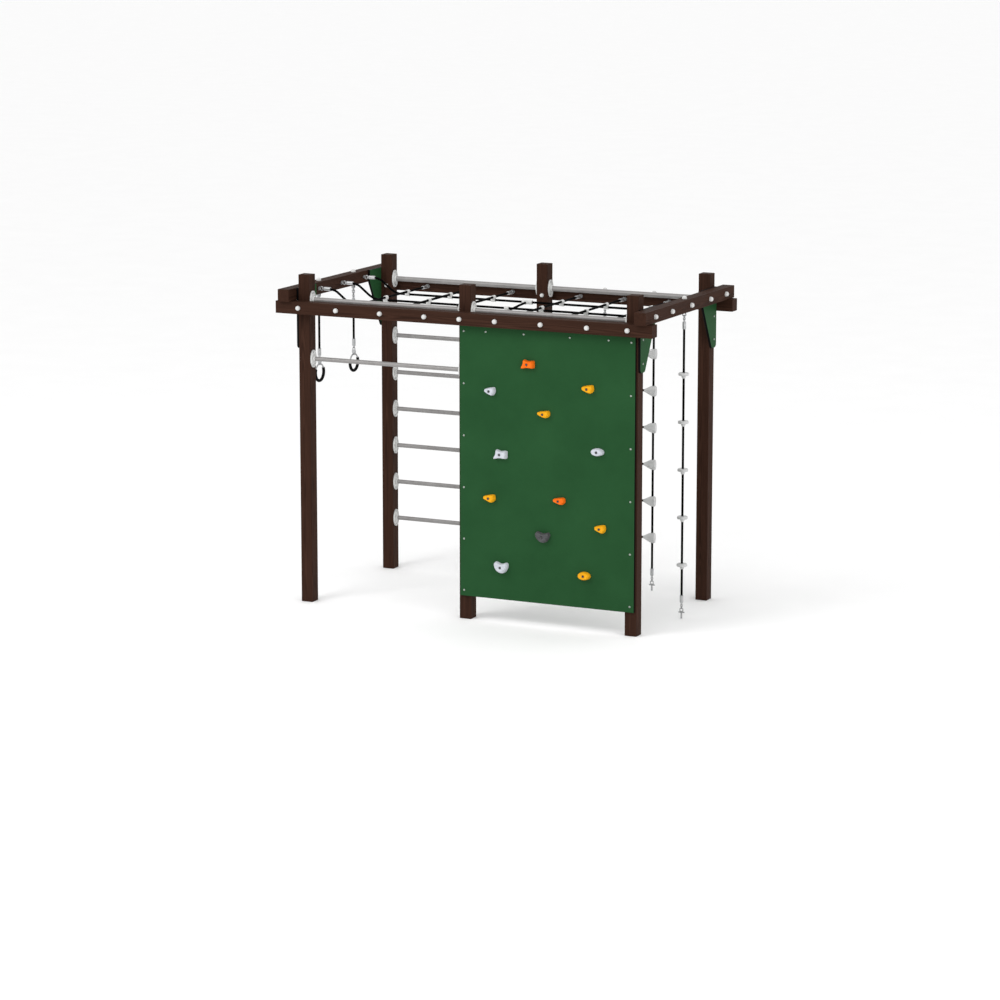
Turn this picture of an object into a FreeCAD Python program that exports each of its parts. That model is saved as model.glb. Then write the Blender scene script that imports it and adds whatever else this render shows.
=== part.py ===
import FreeCAD, Part

import math
import os

import Sketcher
from FreeCAD import Placement, Rotation, Vector

# A timber climbing frame: six square posts in two rows, beams bolted round their tops, a flat rope
# net across the top, wall bars, a turning bar, a climbing panel, a rope ladder, a foothold rope and
# two gym rings that swing. Millimetres, +X along the frame, +Y to the back row, +Z up. The origin
# is on the ground in the middle of the six posts.

DIMENSIONS = {
    # timber
    "post_side": 95,
    "post_height": 2575,
    "bay": 1380,
    "arris": 2,
    "long_beam_top": 2375,
    "beam_overhang": 37.5,
    "cross_overhang": 32.5,
    "bolt_hole_radius": 6.5,
    # board pieces
    "board_thick": 18,
    "panel_wide": 1448,
    "panel_tall": 2095,
    "panel_bottom": 184,
    "rail_thick": 45,
    "gusset_bottom": 1998,
    "gusset_wide": 290,
    "gusset_tip": 88,
    # steel bars
    "top_tube_radius": 20,
    "bar_radius": 17,
    "tube_wall": 2.5,
    "top_tube_height": 2380,
    "rung_pitch": 300,
    "top_rung_height": 1920,
    "flange_tall": 138,
    "flange_wide": 82,
    "flange_base": 5,
    "flange_rim": 12,
    # bolts, M12
    "bolt_radius": 6,
    "nut_flats": 19,
    "nut_thick": 10,
    "cap_radius": 18.5,
    "cap_tall": 24,
    "small_cap_radius": 16,
    "small_cap_tall": 20,
    # net
    "rope_radius": 9,
    "net_rope_gap": 21,
    "net_pitch": 378,
    "net_first": 296,
    "long_rope_pitch": 375,
    "ferrule_radius": 14,
    "ferrule_long": 57,
    # ladder and foothold rope
    "ladder_half_wide": 210,
    "ladder_step": 294,
    "ladder_top_rung": 1900,
    "foothold_step": 369,
    "foothold_top": 1888,
    # gym rings
    "ring_half_gap": 288,
    "ring_radius": 67,
    "ring_rod_radius": 6,
    "ring_grip_radius": 12,
    "ring_top": 1812,
}

doc = FreeCAD.newDocument("climbing_frame")
sheet = doc.addObject("Spreadsheet::Sheet", "Dimensions")
for row, (alias, number) in enumerate(DIMENSIONS.items(), 1):
    sheet.set(f"A{row}", alias)
    sheet.set(f"B{row}", str(number))
    sheet.setAlias(f"B{row}", alias)
doc.recompute()

AXES = {"X": Vector(1, 0, 0), "Y": Vector(0, 1, 0), "Z": Vector(0, 0, 1)}
PLANE_ACROSS = {"X": "YZ_Plane", "Y": "XZ_Plane", "Z": "XY_Plane"}
nodes = []


def dim(alias):
    """A driving dimension as a plain number."""
    return float(sheet.get(alias))


def cell(alias):
    """The same dimension as an expression."""
    return f"Dimensions.{alias}"


def at(x, y, z, axis="Z", angle=0):
    """A placement at a point, turned about one axis."""
    return Placement(Vector(x, y, z), Rotation(AXES[axis], angle))


def node(thing, label):
    """Counts an object as a finished sub-part with this name."""
    thing.Label = label
    nodes.append(thing)
    return thing


# ---- drawing tools -------------------------------------------------------------------------


def new_body(name):
    return doc.addObject("PartDesign::Body", name)


def sketch_on(body, across, name, offset=0):
    """A sketch across one axis of its own body, moved along the plane's normal by offset."""
    sketch = body.newObject("Sketcher::SketchObject", name)
    role = PLANE_ACROSS[across]
    plane = next(f for f in body.Origin.OriginFeatures if f.Role == role)
    sketch.AttachmentSupport = (plane, [""])
    sketch.MapMode = "FlatFace"
    sketch.AttachmentOffset = Placement(Vector(0, 0, offset), Rotation())
    return sketch


def named(sketch, name, expression, *constraint):
    """Adds a dimension to a sketch and binds it to the sheet."""
    number = sketch.addConstraint(Sketcher.Constraint(*constraint))
    sketch.renameConstraint(number, name)
    sketch.setExpression(f"Constraints.{name}", expression)


def draw_rectangle(sketch, wide, tall, wide_cell, tall_cell):
    """A rectangle centred on the sketch's origin."""
    corners = [(-wide / 2, -tall / 2), (wide / 2, -tall / 2), (wide / 2, tall / 2), (-wide / 2, tall / 2)]
    draw_outline(sketch, corners)
    for side, rule in enumerate(("Horizontal", "Vertical", "Horizontal", "Vertical")):
        sketch.addConstraint(Sketcher.Constraint(rule, side))
    sketch.addConstraint(Sketcher.Constraint("Symmetric", 0, 1, 2, 1, -1, 1))
    named(sketch, "wide", wide_cell, "DistanceX", 0, 1, 0, 2, wide)
    named(sketch, "tall", tall_cell, "DistanceY", 1, 1, 1, 2, tall)


def draw_outline(sketch, corners):
    """A closed outline of straight sides."""
    count = len(corners)
    for index in range(count):
        start = Vector(*corners[index], 0)
        end = Vector(*corners[(index + 1) % count], 0)
        sketch.addGeometry(Part.LineSegment(start, end))
    for index in range(count):
        sketch.addConstraint(Sketcher.Constraint("Coincident", index, 2, (index + 1) % count, 1))


def draw_circle(sketch, x, y, radius, radius_cell=None):
    ring = sketch.addGeometry(Part.Circle(Vector(x, y, 0), Vector(0, 0, 1), radius))
    if radius_cell:
        named(sketch, f"radius_{ring}", radius_cell, "Radius", ring, radius)
    else:
        sketch.addConstraint(Sketcher.Constraint("Radius", ring, radius))


def draw_ellipse(sketch, half_wide, half_tall):
    """An upright ellipse about the sketch's origin."""
    sketch.addGeometry(Part.Ellipse(Vector(0, half_tall, 0), Vector(half_wide, 0, 0), Vector(0, 0, 0)))


def pad(body, sketch, length, length_cell=None, both_ways=False):
    feature = body.newObject("PartDesign::Pad", f"{sketch.Name}_pad")
    feature.Profile = sketch
    feature.Length = length
    if both_ways:
        feature.SideType = "Symmetric"
    if length_cell:
        feature.setExpression("Length", length_cell)
    doc.recompute()
    return feature


def drill(body, across, name, holes, radius, radius_cell=None):
    """Round holes right through a body, given as points on the plane across an axis."""
    before = body.Shape.Volume
    sketch = sketch_on(body, across, name)
    for x, y in holes:
        draw_circle(sketch, x, y, radius, radius_cell)
    feature = body.newObject("PartDesign::Pocket", f"{name}_pocket")
    feature.Profile = sketch
    feature.Type = "ThroughAll"
    feature.SideType = "Symmetric"
    doc.recompute()
    if body.Shape.Volume > before - 1:
        raise RuntimeError(f"{name} cuts nothing")
    return feature


def round_edges(body, radius, radius_cell=None):
    """Rounds every edge of the body as it stands."""
    base = body.Tip
    feature = body.newObject("PartDesign::Fillet", f"{body.Name}_rounding")
    feature.Base = (base, [f"Edge{i + 1}" for i in range(len(base.Shape.Edges))])
    feature.Radius = radius
    if radius_cell:
        feature.setExpression("Radius", radius_cell)
    doc.recompute()
    return feature


def turned(name, outline):
    """A body turned about X from a half outline of (x, radius) points."""
    body = new_body(name)
    sketch = sketch_on(body, "Y", f"{name}_outline")
    draw_outline(sketch, outline)
    feature = body.newObject("PartDesign::Revolution", f"{name}_turn")
    feature.Profile = sketch
    feature.ReferenceAxis = (sketch, ["H_Axis"])
    feature.Angle = 360
    doc.recompute()
    return body


def repeat(label, master, places):
    """One sub-part made of separate copies of a master piece, each in its own place."""
    copies = []
    for number, place in enumerate(places, 1):
        copy = doc.addObject("App::Link", f"{label}_{number}")
        copy.LinkedObject = master
        copy.LinkPlacement = place
        copies.append(copy)
    return gather(label, copies)


def gather(label, pieces):
    """One sub-part made of pieces that stand apart."""
    group = doc.addObject("Part::Compound", label)
    group.Links = pieces
    return node(group, label)


def solid(name, shape, place=None):
    """A piece whose shape is worked out here from the sheet's sizes."""
    feature = doc.addObject("Part::Feature", name)
    feature.Shape = shape
    if place:
        feature.Placement = place
    return feature


def cylinder(radius, start, end):
    """A round bar from one point to another."""
    along = end - start
    return Part.makeCylinder(radius, along.Length, start, along)


def loop(centre, radius, wire, normal):
    """A round ring of wire."""
    return Part.makeTorus(radius, wire, centre, AXES[normal])


def stadium(length, wide, wire, across):
    """A chain link about the origin, long in Z: two half rings joined by straight sides."""
    half = wide / 2
    reach = length / 2 - half
    top = Part.Arc(Vector(half, 0, reach), Vector(0, 0, reach + half), Vector(-half, 0, reach))
    left = Part.LineSegment(Vector(-half, 0, reach), Vector(-half, 0, -reach))
    foot = Part.Arc(Vector(-half, 0, -reach), Vector(0, 0, -reach - half), Vector(half, 0, -reach))
    right = Part.LineSegment(Vector(half, 0, -reach), Vector(half, 0, reach))
    path = Part.Wire([edge.toShape() for edge in (top, left, foot, right)])
    section = Part.Wire(Part.makeCircle(wire, Vector(half, 0, reach), Vector(0, 0, 1)))
    shape = path.makePipeShell([section], True, True)
    if across == "X":
        shape = shape.rotated(Vector(), Vector(0, 0, 1), 90)
    return shape


# ---- timber --------------------------------------------------------------------------------

side = dim("post_side")
half_side = side / 2
bay = dim("bay")
half_gap = bay / 2
board = dim("board_thick")
beam_top = dim("long_beam_top")
beam_level = beam_top - half_side
cross_level = beam_top + half_side
row_y = {"front": -half_gap, "back": half_gap}
post_x = {"left": -bay, "middle": 0, "right": bay}
toward_net = {"front": 1, "back": -1, "left": 1, "right": -1}
long_beam_y = half_gap + side
cross_beam_x = bay + half_side + board + half_side
net_x = [sign * (dim("net_first") + step * dim("net_pitch")) for sign in (-1, 1) for step in range(3)]
long_rope_y = {"front": -dim("long_rope_pitch"), "middle": 0, "back": dim("long_rope_pitch")}
ladder_x = [half_gap - dim("ladder_half_wide"), half_gap + dim("ladder_half_wide")]
knob_rope_y = -20
ring_y = {"front": -dim("ring_half_gap"), "back": dim("ring_half_gap")}


def timber(label, along, length, length_cell, centre):
    """A square timber with rounded arrises, lying along one axis."""
    body = new_body(label)
    sketch = sketch_on(body, along, f"{label}_section")
    draw_rectangle(sketch, side, side, cell("post_side"), cell("post_side"))
    pad(body, sketch, length, length_cell, both_ways=True)
    round_edges(body, dim("arris"), cell("arris"))
    body.Placement = at(*centre)
    return node(body, label)


hole = dim("bolt_hole_radius")
hole_cell = cell("bolt_hole_radius")

for row, y in row_y.items():
    for place, x in post_x.items():
        height = dim("post_height")
        post = timber(f"post_{row}_{place}", "Z", height, cell("post_height"), (x, y, height / 2))
        drill(post, "Y", f"{post.Name}_bolt_hole", [(0, beam_level - height / 2)], hole, hole_cell)

long_beam_length = 2 * (cross_beam_x + half_side + dim("beam_overhang"))
long_beam_cell = (
    f"2 * ({cell('bay')} + 1.5 * {cell('post_side')} + {cell('board_thick')} + {cell('beam_overhang')})"
)
for row, y in (("front", -long_beam_y), ("back", long_beam_y)):
    beam = timber(f"long_beam_{row}", "X", long_beam_length, long_beam_cell, (0, y, beam_level))
    drill(beam, "Y", f"{beam.Name}_holes", [(x, 0) for x in [*post_x.values(), *net_x]], hole, hole_cell)
drill(beam, "Z", "ladder_bolt_holes", [(x, 0) for x in ladder_x], hole, hole_cell)

cross_beam_length = 2 * (long_beam_y + half_side + dim("cross_overhang"))
cross_beam_cell = f"{cell('bay')} + 3 * {cell('post_side')} + 2 * {cell('cross_overhang')}"
upright_bolts = {"left": list(ring_y.values()), "right": [knob_rope_y]}
for place, x in (("left", -cross_beam_x), ("right", cross_beam_x)):
    beam = timber(f"cross_beam_{place}", "Y", cross_beam_length, cross_beam_cell, (x, 0, cross_level))
    across = [(y, 0) for y in [*row_y.values(), *long_rope_y.values()]]
    drill(beam, "X", f"{beam.Name}_holes", across, hole, hole_cell)
    drill(beam, "Z", f"{beam.Name}_upright_holes", [(0, y) for y in upright_bolts[place]], hole, hole_cell)

# A batten between the middle and right front posts backs the panel's top edge.
rail_length = bay - side
rail = new_body("panel_rail")
rail_sketch = sketch_on(rail, "X", "panel_rail_section")
draw_rectangle(rail_sketch, dim("rail_thick"), side, cell("rail_thick"), cell("post_side"))
pad(rail, rail_sketch, rail_length, f"{cell('bay')} - {cell('post_side')}", both_ways=True)
round_edges(rail, dim("arris") / 2, f"{cell('arris')} / 2")
rail_y = -half_gap - half_side + dim("rail_thick") / 2
panel_top = dim("panel_bottom") + dim("panel_tall")
rail.Placement = at(half_gap, rail_y, panel_top - half_side)
node(rail, "panel_rail")

# ---- gusset plates -------------------------------------------------------------------------

# Each plate stands between a corner post and the cross beam, flush with the post's outer face and
# the beam's top, and tapers down the post to a short foot. Drawn about the post's centre line.
gusset_top = beam_top + side
gusset_bottom = dim("gusset_bottom")
gusset = new_body("gusset_pattern")
gusset_sketch = sketch_on(gusset, "X", "gusset_outline")
outer = -half_side
inner = outer + dim("gusset_wide")
tip = outer + dim("gusset_tip")
draw_outline(
    gusset_sketch,
    [
        (outer, gusset_bottom),
        (tip, gusset_bottom),
        (inner, beam_top),
        (inner, gusset_top),
        (outer, gusset_top),
    ],
)
gusset_pad = pad(gusset, gusset_sketch, board, cell("board_thick"), both_ways=True)


def corner_edge(shape, y, z):
    """The name of the edge that runs along X through a corner of the outline."""
    for index, edge in enumerate(shape.Edges, 1):
        middle = edge.CenterOfMass
        if abs(middle.y - y) < 0.1 and abs(middle.z - z) < 0.1 and edge.Length < 2 * board:
            return f"Edge{index}"
    raise RuntimeError("no such corner")


gusset_foot = gusset.newObject("PartDesign::Fillet", "gusset_foot")
foot_corners = [(outer, gusset_bottom), (tip, gusset_bottom), (inner, beam_top)]
gusset_foot.Base = (gusset_pad, [corner_edge(gusset_pad.Shape, *corner) for corner in foot_corners])
gusset_foot.Radius = 30
doc.recompute()
gusset_edge = gusset.newObject("PartDesign::Chamfer", "gusset_edge")
flat_faces = [
    f"Face{index}"
    for index, face in enumerate(gusset_foot.Shape.Faces, 1)
    if abs(face.normalAt(0, 0).x) > 0.99
]
gusset_edge.Base = (gusset_foot, flat_faces)
gusset_edge.Size = 1.5
doc.recompute()
gusset_screw_z = [2245, 2065]
drill(gusset, "X", "gusset_bolt_hole", [(0, cross_level)], hole, hole_cell)
drill(gusset, "X", "gusset_screw_holes", [(0, z) for z in gusset_screw_z], 3.1)
gusset_x = bay + half_side + board / 2
repeat(
    "gusset_plates",
    gusset,
    [
        at(sign * gusset_x, y, 0, "Z", 0 if row == "front" else 180)
        for row, y in row_y.items()
        for sign in (-1, 1)
    ],
)

# ---- steel tubes and their flanges ---------------------------------------------------------

base = dim("flange_base")
tube_length = bay - side - 2 * base
tube_cell = f"{cell('bay')} - {cell('post_side')} - 2 * {cell('flange_base')}"
top_tube_level = dim("top_tube_height")
rung_levels = [dim("top_rung_height") - step * dim("rung_pitch") for step in range(6)]
bay_centres = [-half_gap, half_gap]


def tube(name, radius, radius_cell):
    """A round steel tube about the origin, along X."""
    body = new_body(name)
    sketch = sketch_on(body, "X", f"{name}_section")
    draw_circle(sketch, 0, 0, radius, radius_cell)
    draw_circle(sketch, 0, 0, radius - dim("tube_wall"), f"{radius_cell} - {cell('tube_wall')}")
    pad(body, sketch, tube_length, tube_cell, both_ways=True)
    return body


top_tube = tube("top_tube_pattern", dim("top_tube_radius"), cell("top_tube_radius"))
repeat("top_tubes", top_tube, [at(x, y, top_tube_level) for y in row_y.values() for x in bay_centres])

turning_bar = tube("turning_bar", dim("bar_radius"), cell("bar_radius"))
turning_bar.Placement = at(-half_gap, row_y["front"], dim("top_rung_height"))
node(turning_bar, "turning_bar")

rung = tube("rung_pattern", dim("bar_radius"), cell("bar_radius"))
repeat("wall_rungs", rung, [at(-half_gap, row_y["back"], z) for z in rung_levels])

flange_screw_z = 50


def flange(name, radius, radius_cell):
    """A moulded oval flange on the plane x = 0, open to +X: plate, raised rim and a tube socket."""
    body = new_body(name)
    half_wide = dim("flange_wide") / 2
    half_tall = dim("flange_tall") / 2
    rim = 5
    plate = sketch_on(body, "X", f"{name}_plate")
    draw_ellipse(plate, half_wide, half_tall)
    pad(body, plate, base, cell("flange_base"))
    edge = sketch_on(body, "X", f"{name}_rim")
    draw_ellipse(edge, half_wide, half_tall)
    draw_ellipse(edge, half_wide - rim, half_tall - rim)
    pad(body, edge, dim("flange_rim"), cell("flange_rim"))
    socket = sketch_on(body, "X", f"{name}_socket")
    draw_circle(socket, 0, 0, radius + rim, f"{radius_cell} + {rim}")
    draw_circle(socket, 0, 0, radius, radius_cell)
    pad(body, socket, 2 * dim("flange_rim"), f"2 * {cell('flange_rim')}")
    drill(body, "X", f"{name}_holes", [(0, flange_screw_z), (0, -flange_screw_z)], 3.1)
    return body


def post_faces(bays):
    """The x and facing of the two post faces at the ends of each bay."""
    for centre in bays:
        yield centre - rail_length / 2, 0
        yield centre + rail_length / 2, 180


top_flange_places = [
    at(x, y, top_tube_level, "Z", turn) for y in row_y.values() for x, turn in post_faces(bay_centres)
]
bar_flange_places = [
    at(x, row_y["front"], dim("top_rung_height"), "Z", turn) for x, turn in post_faces([-half_gap])
]
bar_flange_places += [
    at(x, row_y["back"], z, "Z", turn) for z in rung_levels for x, turn in post_faces([-half_gap])
]
top_flange = flange("top_flange_pattern", dim("top_tube_radius"), cell("top_tube_radius"))
bar_flange = flange("bar_flange_pattern", dim("bar_radius"), cell("bar_radius"))
flange_copies = []
for master, places in ((top_flange, top_flange_places), (bar_flange, bar_flange_places)):
    for place in places:
        copy = doc.addObject("App::Link", "flange")
        copy.LinkedObject = master
        copy.LinkPlacement = place
        flange_copies.append(copy)
gather("tube_flanges", flange_copies)


def screw(name, head_radius, head_tall, shank_radius, length):
    """A domed screw on the plane x = 0: head to +X, pointed shank to -X."""
    outline = [
        (-length, 0),
        (-length + 2 * shank_radius, shank_radius),
        (0, shank_radius),
        (0, head_radius),
        (head_tall * 0.45, head_radius),
        (head_tall * 0.85, head_radius * 0.7),
        (head_tall, head_radius * 0.3),
        (head_tall, 0),
    ]
    return turned(name, outline)


flange_screw = screw("flange_screw_pattern", 6.5, 4, 3, 32)
flange_screw_places = []
for place in top_flange_places + bar_flange_places:
    for z in (flange_screw_z, -flange_screw_z):
        flange_screw_places.append(place.multiply(at(base, 0, z)))
repeat("flange_screws", flange_screw, flange_screw_places)

# ---- climbing panel ------------------------------------------------------------------------

panel_front = -half_gap - half_side - board
panel_back = panel_front + board
panel_level = dim("panel_bottom") + dim("panel_tall") / 2
screw_levels = [panel_top - 50 - 400 * step for step in range(6)]
edge_screws = [(x, z) for x in (0, bay) for z in screw_levels]
top_screws = [(half_gap + sign * x, panel_top - 45) for sign in (-1, 1) for x in (190, 506)]

# Corner points of each form of hold, as shares of its half width and half height.
HOLD_FORMS = {
    "flared": [
        (-1, -0.97), (-0.74, 0), (-0.60, 0.97), (0.05, 0.74),
        (0.92, 0.80), (1, 0), (0.90, -0.80), (0, -0.76),
    ],
    "tapered": [
        (-1, 0.05), (-0.80, 0.55), (0.70, 0.97), (1, 0.45),
        (0.98, -0.35), (0.55, -1), (-0.20, -0.68), (-0.85, -0.25),
    ],
    "bean": [
        (-1, 0.45), (-0.68, 0.98), (0.05, 0.66), (0.78, 0.90),
        (1, 0.35), (0.62, -0.72), (0.05, -1), (-0.68, -0.50),
    ],
    "oval": [
        (-1, 0), (-0.72, 0.70), (0, 1), (0.72, 0.70),
        (1, 0), (0.72, -0.70), (0, -1), (-0.72, -0.70),
    ],
}
# name: colour, form, centre x, centre z, width, height
HOLDS = {
    "jug_high": ("orange", "flared", 539, 2011, 107, 69),
    "pinch_high": ("white", "tapered", 224, 1786, 87, 64),
    "edge_high": ("yellow", "tapered", 1032, 1858, 95, 64),
    "edge_upper": ("yellow", "tapered", 670, 1642, 99, 55),
    "pinch_middle": ("white", "flared", 312, 1307, 110, 74),
    "oval_middle": ("white", "oval", 1114, 1387, 104, 58),
    "edge_lower": ("yellow", "tapered", 219, 963, 95, 61),
    "jug_lower": ("orange", "tapered", 801, 990, 96, 55),
    "kidney_low": ("grey", "bean", 664, 701, 120, 84),
    "pinch_low": ("yellow", "tapered", 1139, 805, 87, 64),
    "kidney_foot": ("white", "bean", 318, 435, 119, 88),
    "oval_foot": ("yellow", "oval", 1010, 433, 101, 62),
}
hold_deep = 48
hold_crown = 0.66
bolt_seat = 28
hold_points = [(x, z) for _, _, x, z, _, _ in HOLDS.values()]

panel = new_body("climbing_panel")
panel_sketch = sketch_on(panel, "Y", "panel_outline")
draw_rectangle(panel_sketch, dim("panel_wide"), dim("panel_tall"), cell("panel_wide"), cell("panel_tall"))
pad(panel, panel_sketch, board, cell("board_thick"), both_ways=True)
round_edges(panel, 2)
panel_points = [(x - half_gap, z - panel_level) for x, z in edge_screws + top_screws]
drill(panel, "Y", "panel_screw_holes", panel_points, 3.1)
hold_panel_points = [(x - half_gap, z - panel_level) for x, z in hold_points]
drill(panel, "Y", "panel_hold_holes", hold_panel_points, 7)
panel.Placement = at(half_gap, panel_front + board / 2, panel_level)
node(panel, "climbing_panel")

board_screw = screw("board_screw_pattern", 8, 5, 3, 60)
board_screw_places = [
    Placement(Vector(x, panel_front, z), Rotation(AXES["Z"], -90)) for x, z in edge_screws + top_screws
]
for sign in (-1, 1):
    for y in row_y.values():
        for z in gusset_screw_z:
            face = sign * (bay + half_side + board)
            board_screw_places.append(at(face, y, z, "Z", 0 if sign > 0 else 180))
repeat("board_screws", board_screw, board_screw_places)


def hold_outline(form, steps=3):
    """A closed smooth line through a form's corner points, in the same shares."""
    corners = [Vector(u, v, 0) for u, v in HOLD_FORMS[form]]
    line = []
    for index, start in enumerate(corners):
        before = corners[index - 1]
        end = corners[(index + 1) % len(corners)]
        after = corners[(index + 2) % len(corners)]
        for step in range(steps):
            t = step / steps
            line.append(
                start * (1 - 2.5 * t**2 + 1.5 * t**3)
                + end * (0.5 * t + 2 * t**2 - 1.5 * t**3)
                + before * (-0.5 * t + t**2 - 0.5 * t**3)
                + after * (-0.5 * t**2 + 0.5 * t**3)
            )
    return line


def hold_ring(form, wide, tall, scale, y):
    """A hold's outline at a scale, in a plane across Y."""
    points = [Vector(wide / 2 * scale * p.x, y, tall / 2 * scale * p.y) for p in hold_outline(form)]
    curve = Part.BSplineCurve()
    curve.interpolate(points, PeriodicFlag=True)
    return Part.Wire(curve.toShape())


def hold(name, form, x, z, wide, tall):
    """A cast grip: a crowned lump on the panel with a stepped hole for its bolt."""
    foot = hold_ring(form, wide, tall, 1.0, 0)
    shoulder = hold_ring(form, wide, tall, 0.94, -hold_deep * 0.55)
    crown = hold_ring(form, wide, tall, hold_crown, -hold_deep)
    lump = Part.makeLoft([foot, shoulder, crown], True, False)
    lump = lump.cut(cylinder(5.3, Vector(0, 1, 0), Vector(0, -hold_deep - 1, 0)))
    lump = lump.cut(cylinder(10, Vector(0, -bolt_seat, 0), Vector(0, -hold_deep - 1, 0)))
    return solid(name, lump, at(x, panel_front, z))


for colour in ("orange", "white", "yellow", "grey"):
    pieces = [hold(name, *facts[1:]) for name, facts in HOLDS.items() if facts[0] == colour]
    gather(f"holds_{colour}", pieces)

# Each hold's bolt runs through the panel into a tee nut that sits in the panel's back.
hold_head = cylinder(8, Vector(0, -bolt_seat, 0), Vector(0, -bolt_seat - 10, 0))
hold_shank = cylinder(5, Vector(0, -bolt_seat, 0), Vector(0, board + 2, 0))
hold_bolt = hold_head.fuse(hold_shank).removeSplitter()
hex_key = Part.Face(Part.makePolygon([
    Vector(4.6 * math.cos(math.radians(60 * i)), -bolt_seat - 10, 4.6 * math.sin(math.radians(60 * i)))
    for i in range(7)
]))
hold_bolt = hold_bolt.cut(hex_key.extrude(Vector(0, 6, 0)))
tee_barrel = cylinder(6.9, Vector(0, board - 14, 0), Vector(0, board, 0))
tee_plate = cylinder(13, Vector(0, board, 0), Vector(0, board + 2, 0))
tee_nut = tee_barrel.fuse(tee_plate).cut(cylinder(5.05, Vector(0, 0, 0), Vector(0, board + 3, 0)))
bolt_and_nut = solid("hold_bolt_pattern", Part.makeCompound([hold_bolt, tee_nut.removeSplitter()]))
repeat("hold_bolts", bolt_and_nut, [at(x, panel_front, z) for x, z in hold_points])

# ---- frame bolts, nuts and caps ------------------------------------------------------------

bolt = dim("bolt_radius")
nut = dim("nut_thick")
thread_end = nut + 4
nut_corner = dim("nut_flats") / math.sqrt(3)


def hexagon(start, length):
    """A hexagonal prism along X from x = start."""
    corners = [
        Vector(start, nut_corner * math.cos(i * math.pi / 3), nut_corner * math.sin(i * math.pi / 3))
        for i in range(7)
    ]
    return Part.Face(Part.makePolygon(corners)).extrude(Vector(length, 0, 0))


def bolt_shape(length):
    """A hex-headed bolt along X: head behind x = 0, plain shank of a length in front of it."""
    shank = cylinder(bolt, Vector(-1, 0, 0), Vector(length, 0, 0))
    return hexagon(-8, 8).fuse(shank).removeSplitter()


# A through bolt joins a long beam to a post: head at x = 0, shank to +X through both timbers.
through_bolt = solid(
    "through_bolt_pattern",
    bolt_shape(2 * side + thread_end),
)
# A coach screw joins a cross beam through the gusset plate to a post.
coach_screw = solid(
    "coach_screw_pattern",
    bolt_shape(side + board + 60),
)
bolt_copies = []
bolt_heads = []
post_nuts = []
for row, y in row_y.items():
    outer_face = -toward_net[row] * (long_beam_y + half_side)
    turn = 90 * toward_net[row]
    for x in post_x.values():
        bolt_heads.append((through_bolt, at(x, outer_face, beam_level, "Z", turn)))
        inner_face = row_y[row] + toward_net[row] * half_side
        post_nuts.append(at(x, inner_face, beam_level, "Z", turn))
for place, x in (("left", -cross_beam_x), ("right", cross_beam_x)):
    for y in row_y.values():
        face = x - toward_net[place] * half_side
        bolt_heads.append((coach_screw, at(face, y, cross_level, "Z", 90 - 90 * toward_net[place])))
for master, place in bolt_heads:
    copy = doc.addObject("App::Link", "frame_bolt")
    copy.LinkedObject = master
    copy.LinkPlacement = place
    bolt_copies.append(copy)
gather("frame_bolts", bolt_copies)

# The net's eye bolts pass a beam from inside out: eye to +X from the beam's inner face at x = 0.
eye_centre = 24
eye_radius = 13
eye_wire = 4.5
eye_shank = cylinder(bolt, Vector(-side - thread_end, 0, 0), Vector(eye_centre - eye_radius, 0, 0))
eye_collar = cylinder(15, Vector(0, 0, 0), Vector(5, 0, 0))
eye_loop = loop(Vector(eye_centre, 0, 0), eye_radius, eye_wire, "Y")
eye_bolt = solid("eye_bolt_pattern", eye_shank.fuse([eye_collar, eye_loop]).removeSplitter())

net_eye_places = []
for row in ("front", "back"):
    face = -toward_net[row] * (long_beam_y - half_side)
    net_eye_places += [at(x, face, beam_level, "Z", 90 * toward_net[row]) for x in net_x]
for place in ("left", "right"):
    face = -toward_net[place] * (cross_beam_x - half_side)
    turn = 90 - 90 * toward_net[place]
    net_eye_places += [at(face, y, cross_level, "Z", turn) for y in long_rope_y.values()]
repeat("net_eye_bolts", eye_bolt, net_eye_places)

down = Rotation(AXES["Y"], 90)
upwards = Rotation(AXES["Y"], -90)
ladder_hangers = [Placement(Vector(x, long_beam_y, beam_top - side), down) for x in ladder_x]
knob_hanger = Placement(Vector(cross_beam_x, knob_rope_y, beam_top), down)
rope_hangers = [*ladder_hangers, knob_hanger]
repeat("hanger_eye_bolts", eye_bolt, rope_hangers)

ring_hangers = [Placement(Vector(-cross_beam_x, y, beam_top), down) for y in ring_y.values()]
outward = Placement(Vector(-side, 0, 0), Rotation(AXES["Z"], 180))
beam_nuts = [place.multiply(outward) for place in net_eye_places + rope_hangers + ring_hangers]
hex_nut = solid("nut_pattern", hexagon(0, nut).cut(cylinder(bolt, Vector(-1, 0, 0), Vector(nut + 1, 0, 0))))
repeat("frame_nuts", hex_nut, post_nuts + beam_nuts)

# A snap cap covers every bolt head and nut: a hollow dome on the plane x = 0, crown to +X.
cap_wall = 3


def snap_cap(name, radius, tall):
    return turned(
        name,
        [
            (0, radius - cap_wall),
            (0, radius),
            (tall * 0.35, radius),
            (tall * 0.72, radius * 0.83),
            (tall * 0.93, radius * 0.5),
            (tall, radius * 0.2),
            (tall, 0),
            (tall - cap_wall, 0),
            (tall * 0.66, radius * 0.83 - cap_wall),
            (tall * 0.3, radius - cap_wall),
        ],
    )


large_cap = snap_cap("cap_pattern", dim("cap_radius"), dim("cap_tall"))
small_cap = snap_cap("small_cap_pattern", dim("small_cap_radius"), dim("small_cap_tall"))
flip = Placement(Vector(), Rotation(AXES["Z"], 180))
large_cap_places = beam_nuts + [place.multiply(flip) for _, place in bolt_heads]
cap_copies = []
for master, places in ((large_cap, large_cap_places), (small_cap, post_nuts)):
    for place in places:
        copy = doc.addObject("App::Link", "bolt_cap")
        copy.LinkedObject = master
        copy.LinkPlacement = place
        cap_copies.append(copy)
gather("bolt_caps", cap_copies)

# ---- rope net ------------------------------------------------------------------------------

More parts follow.
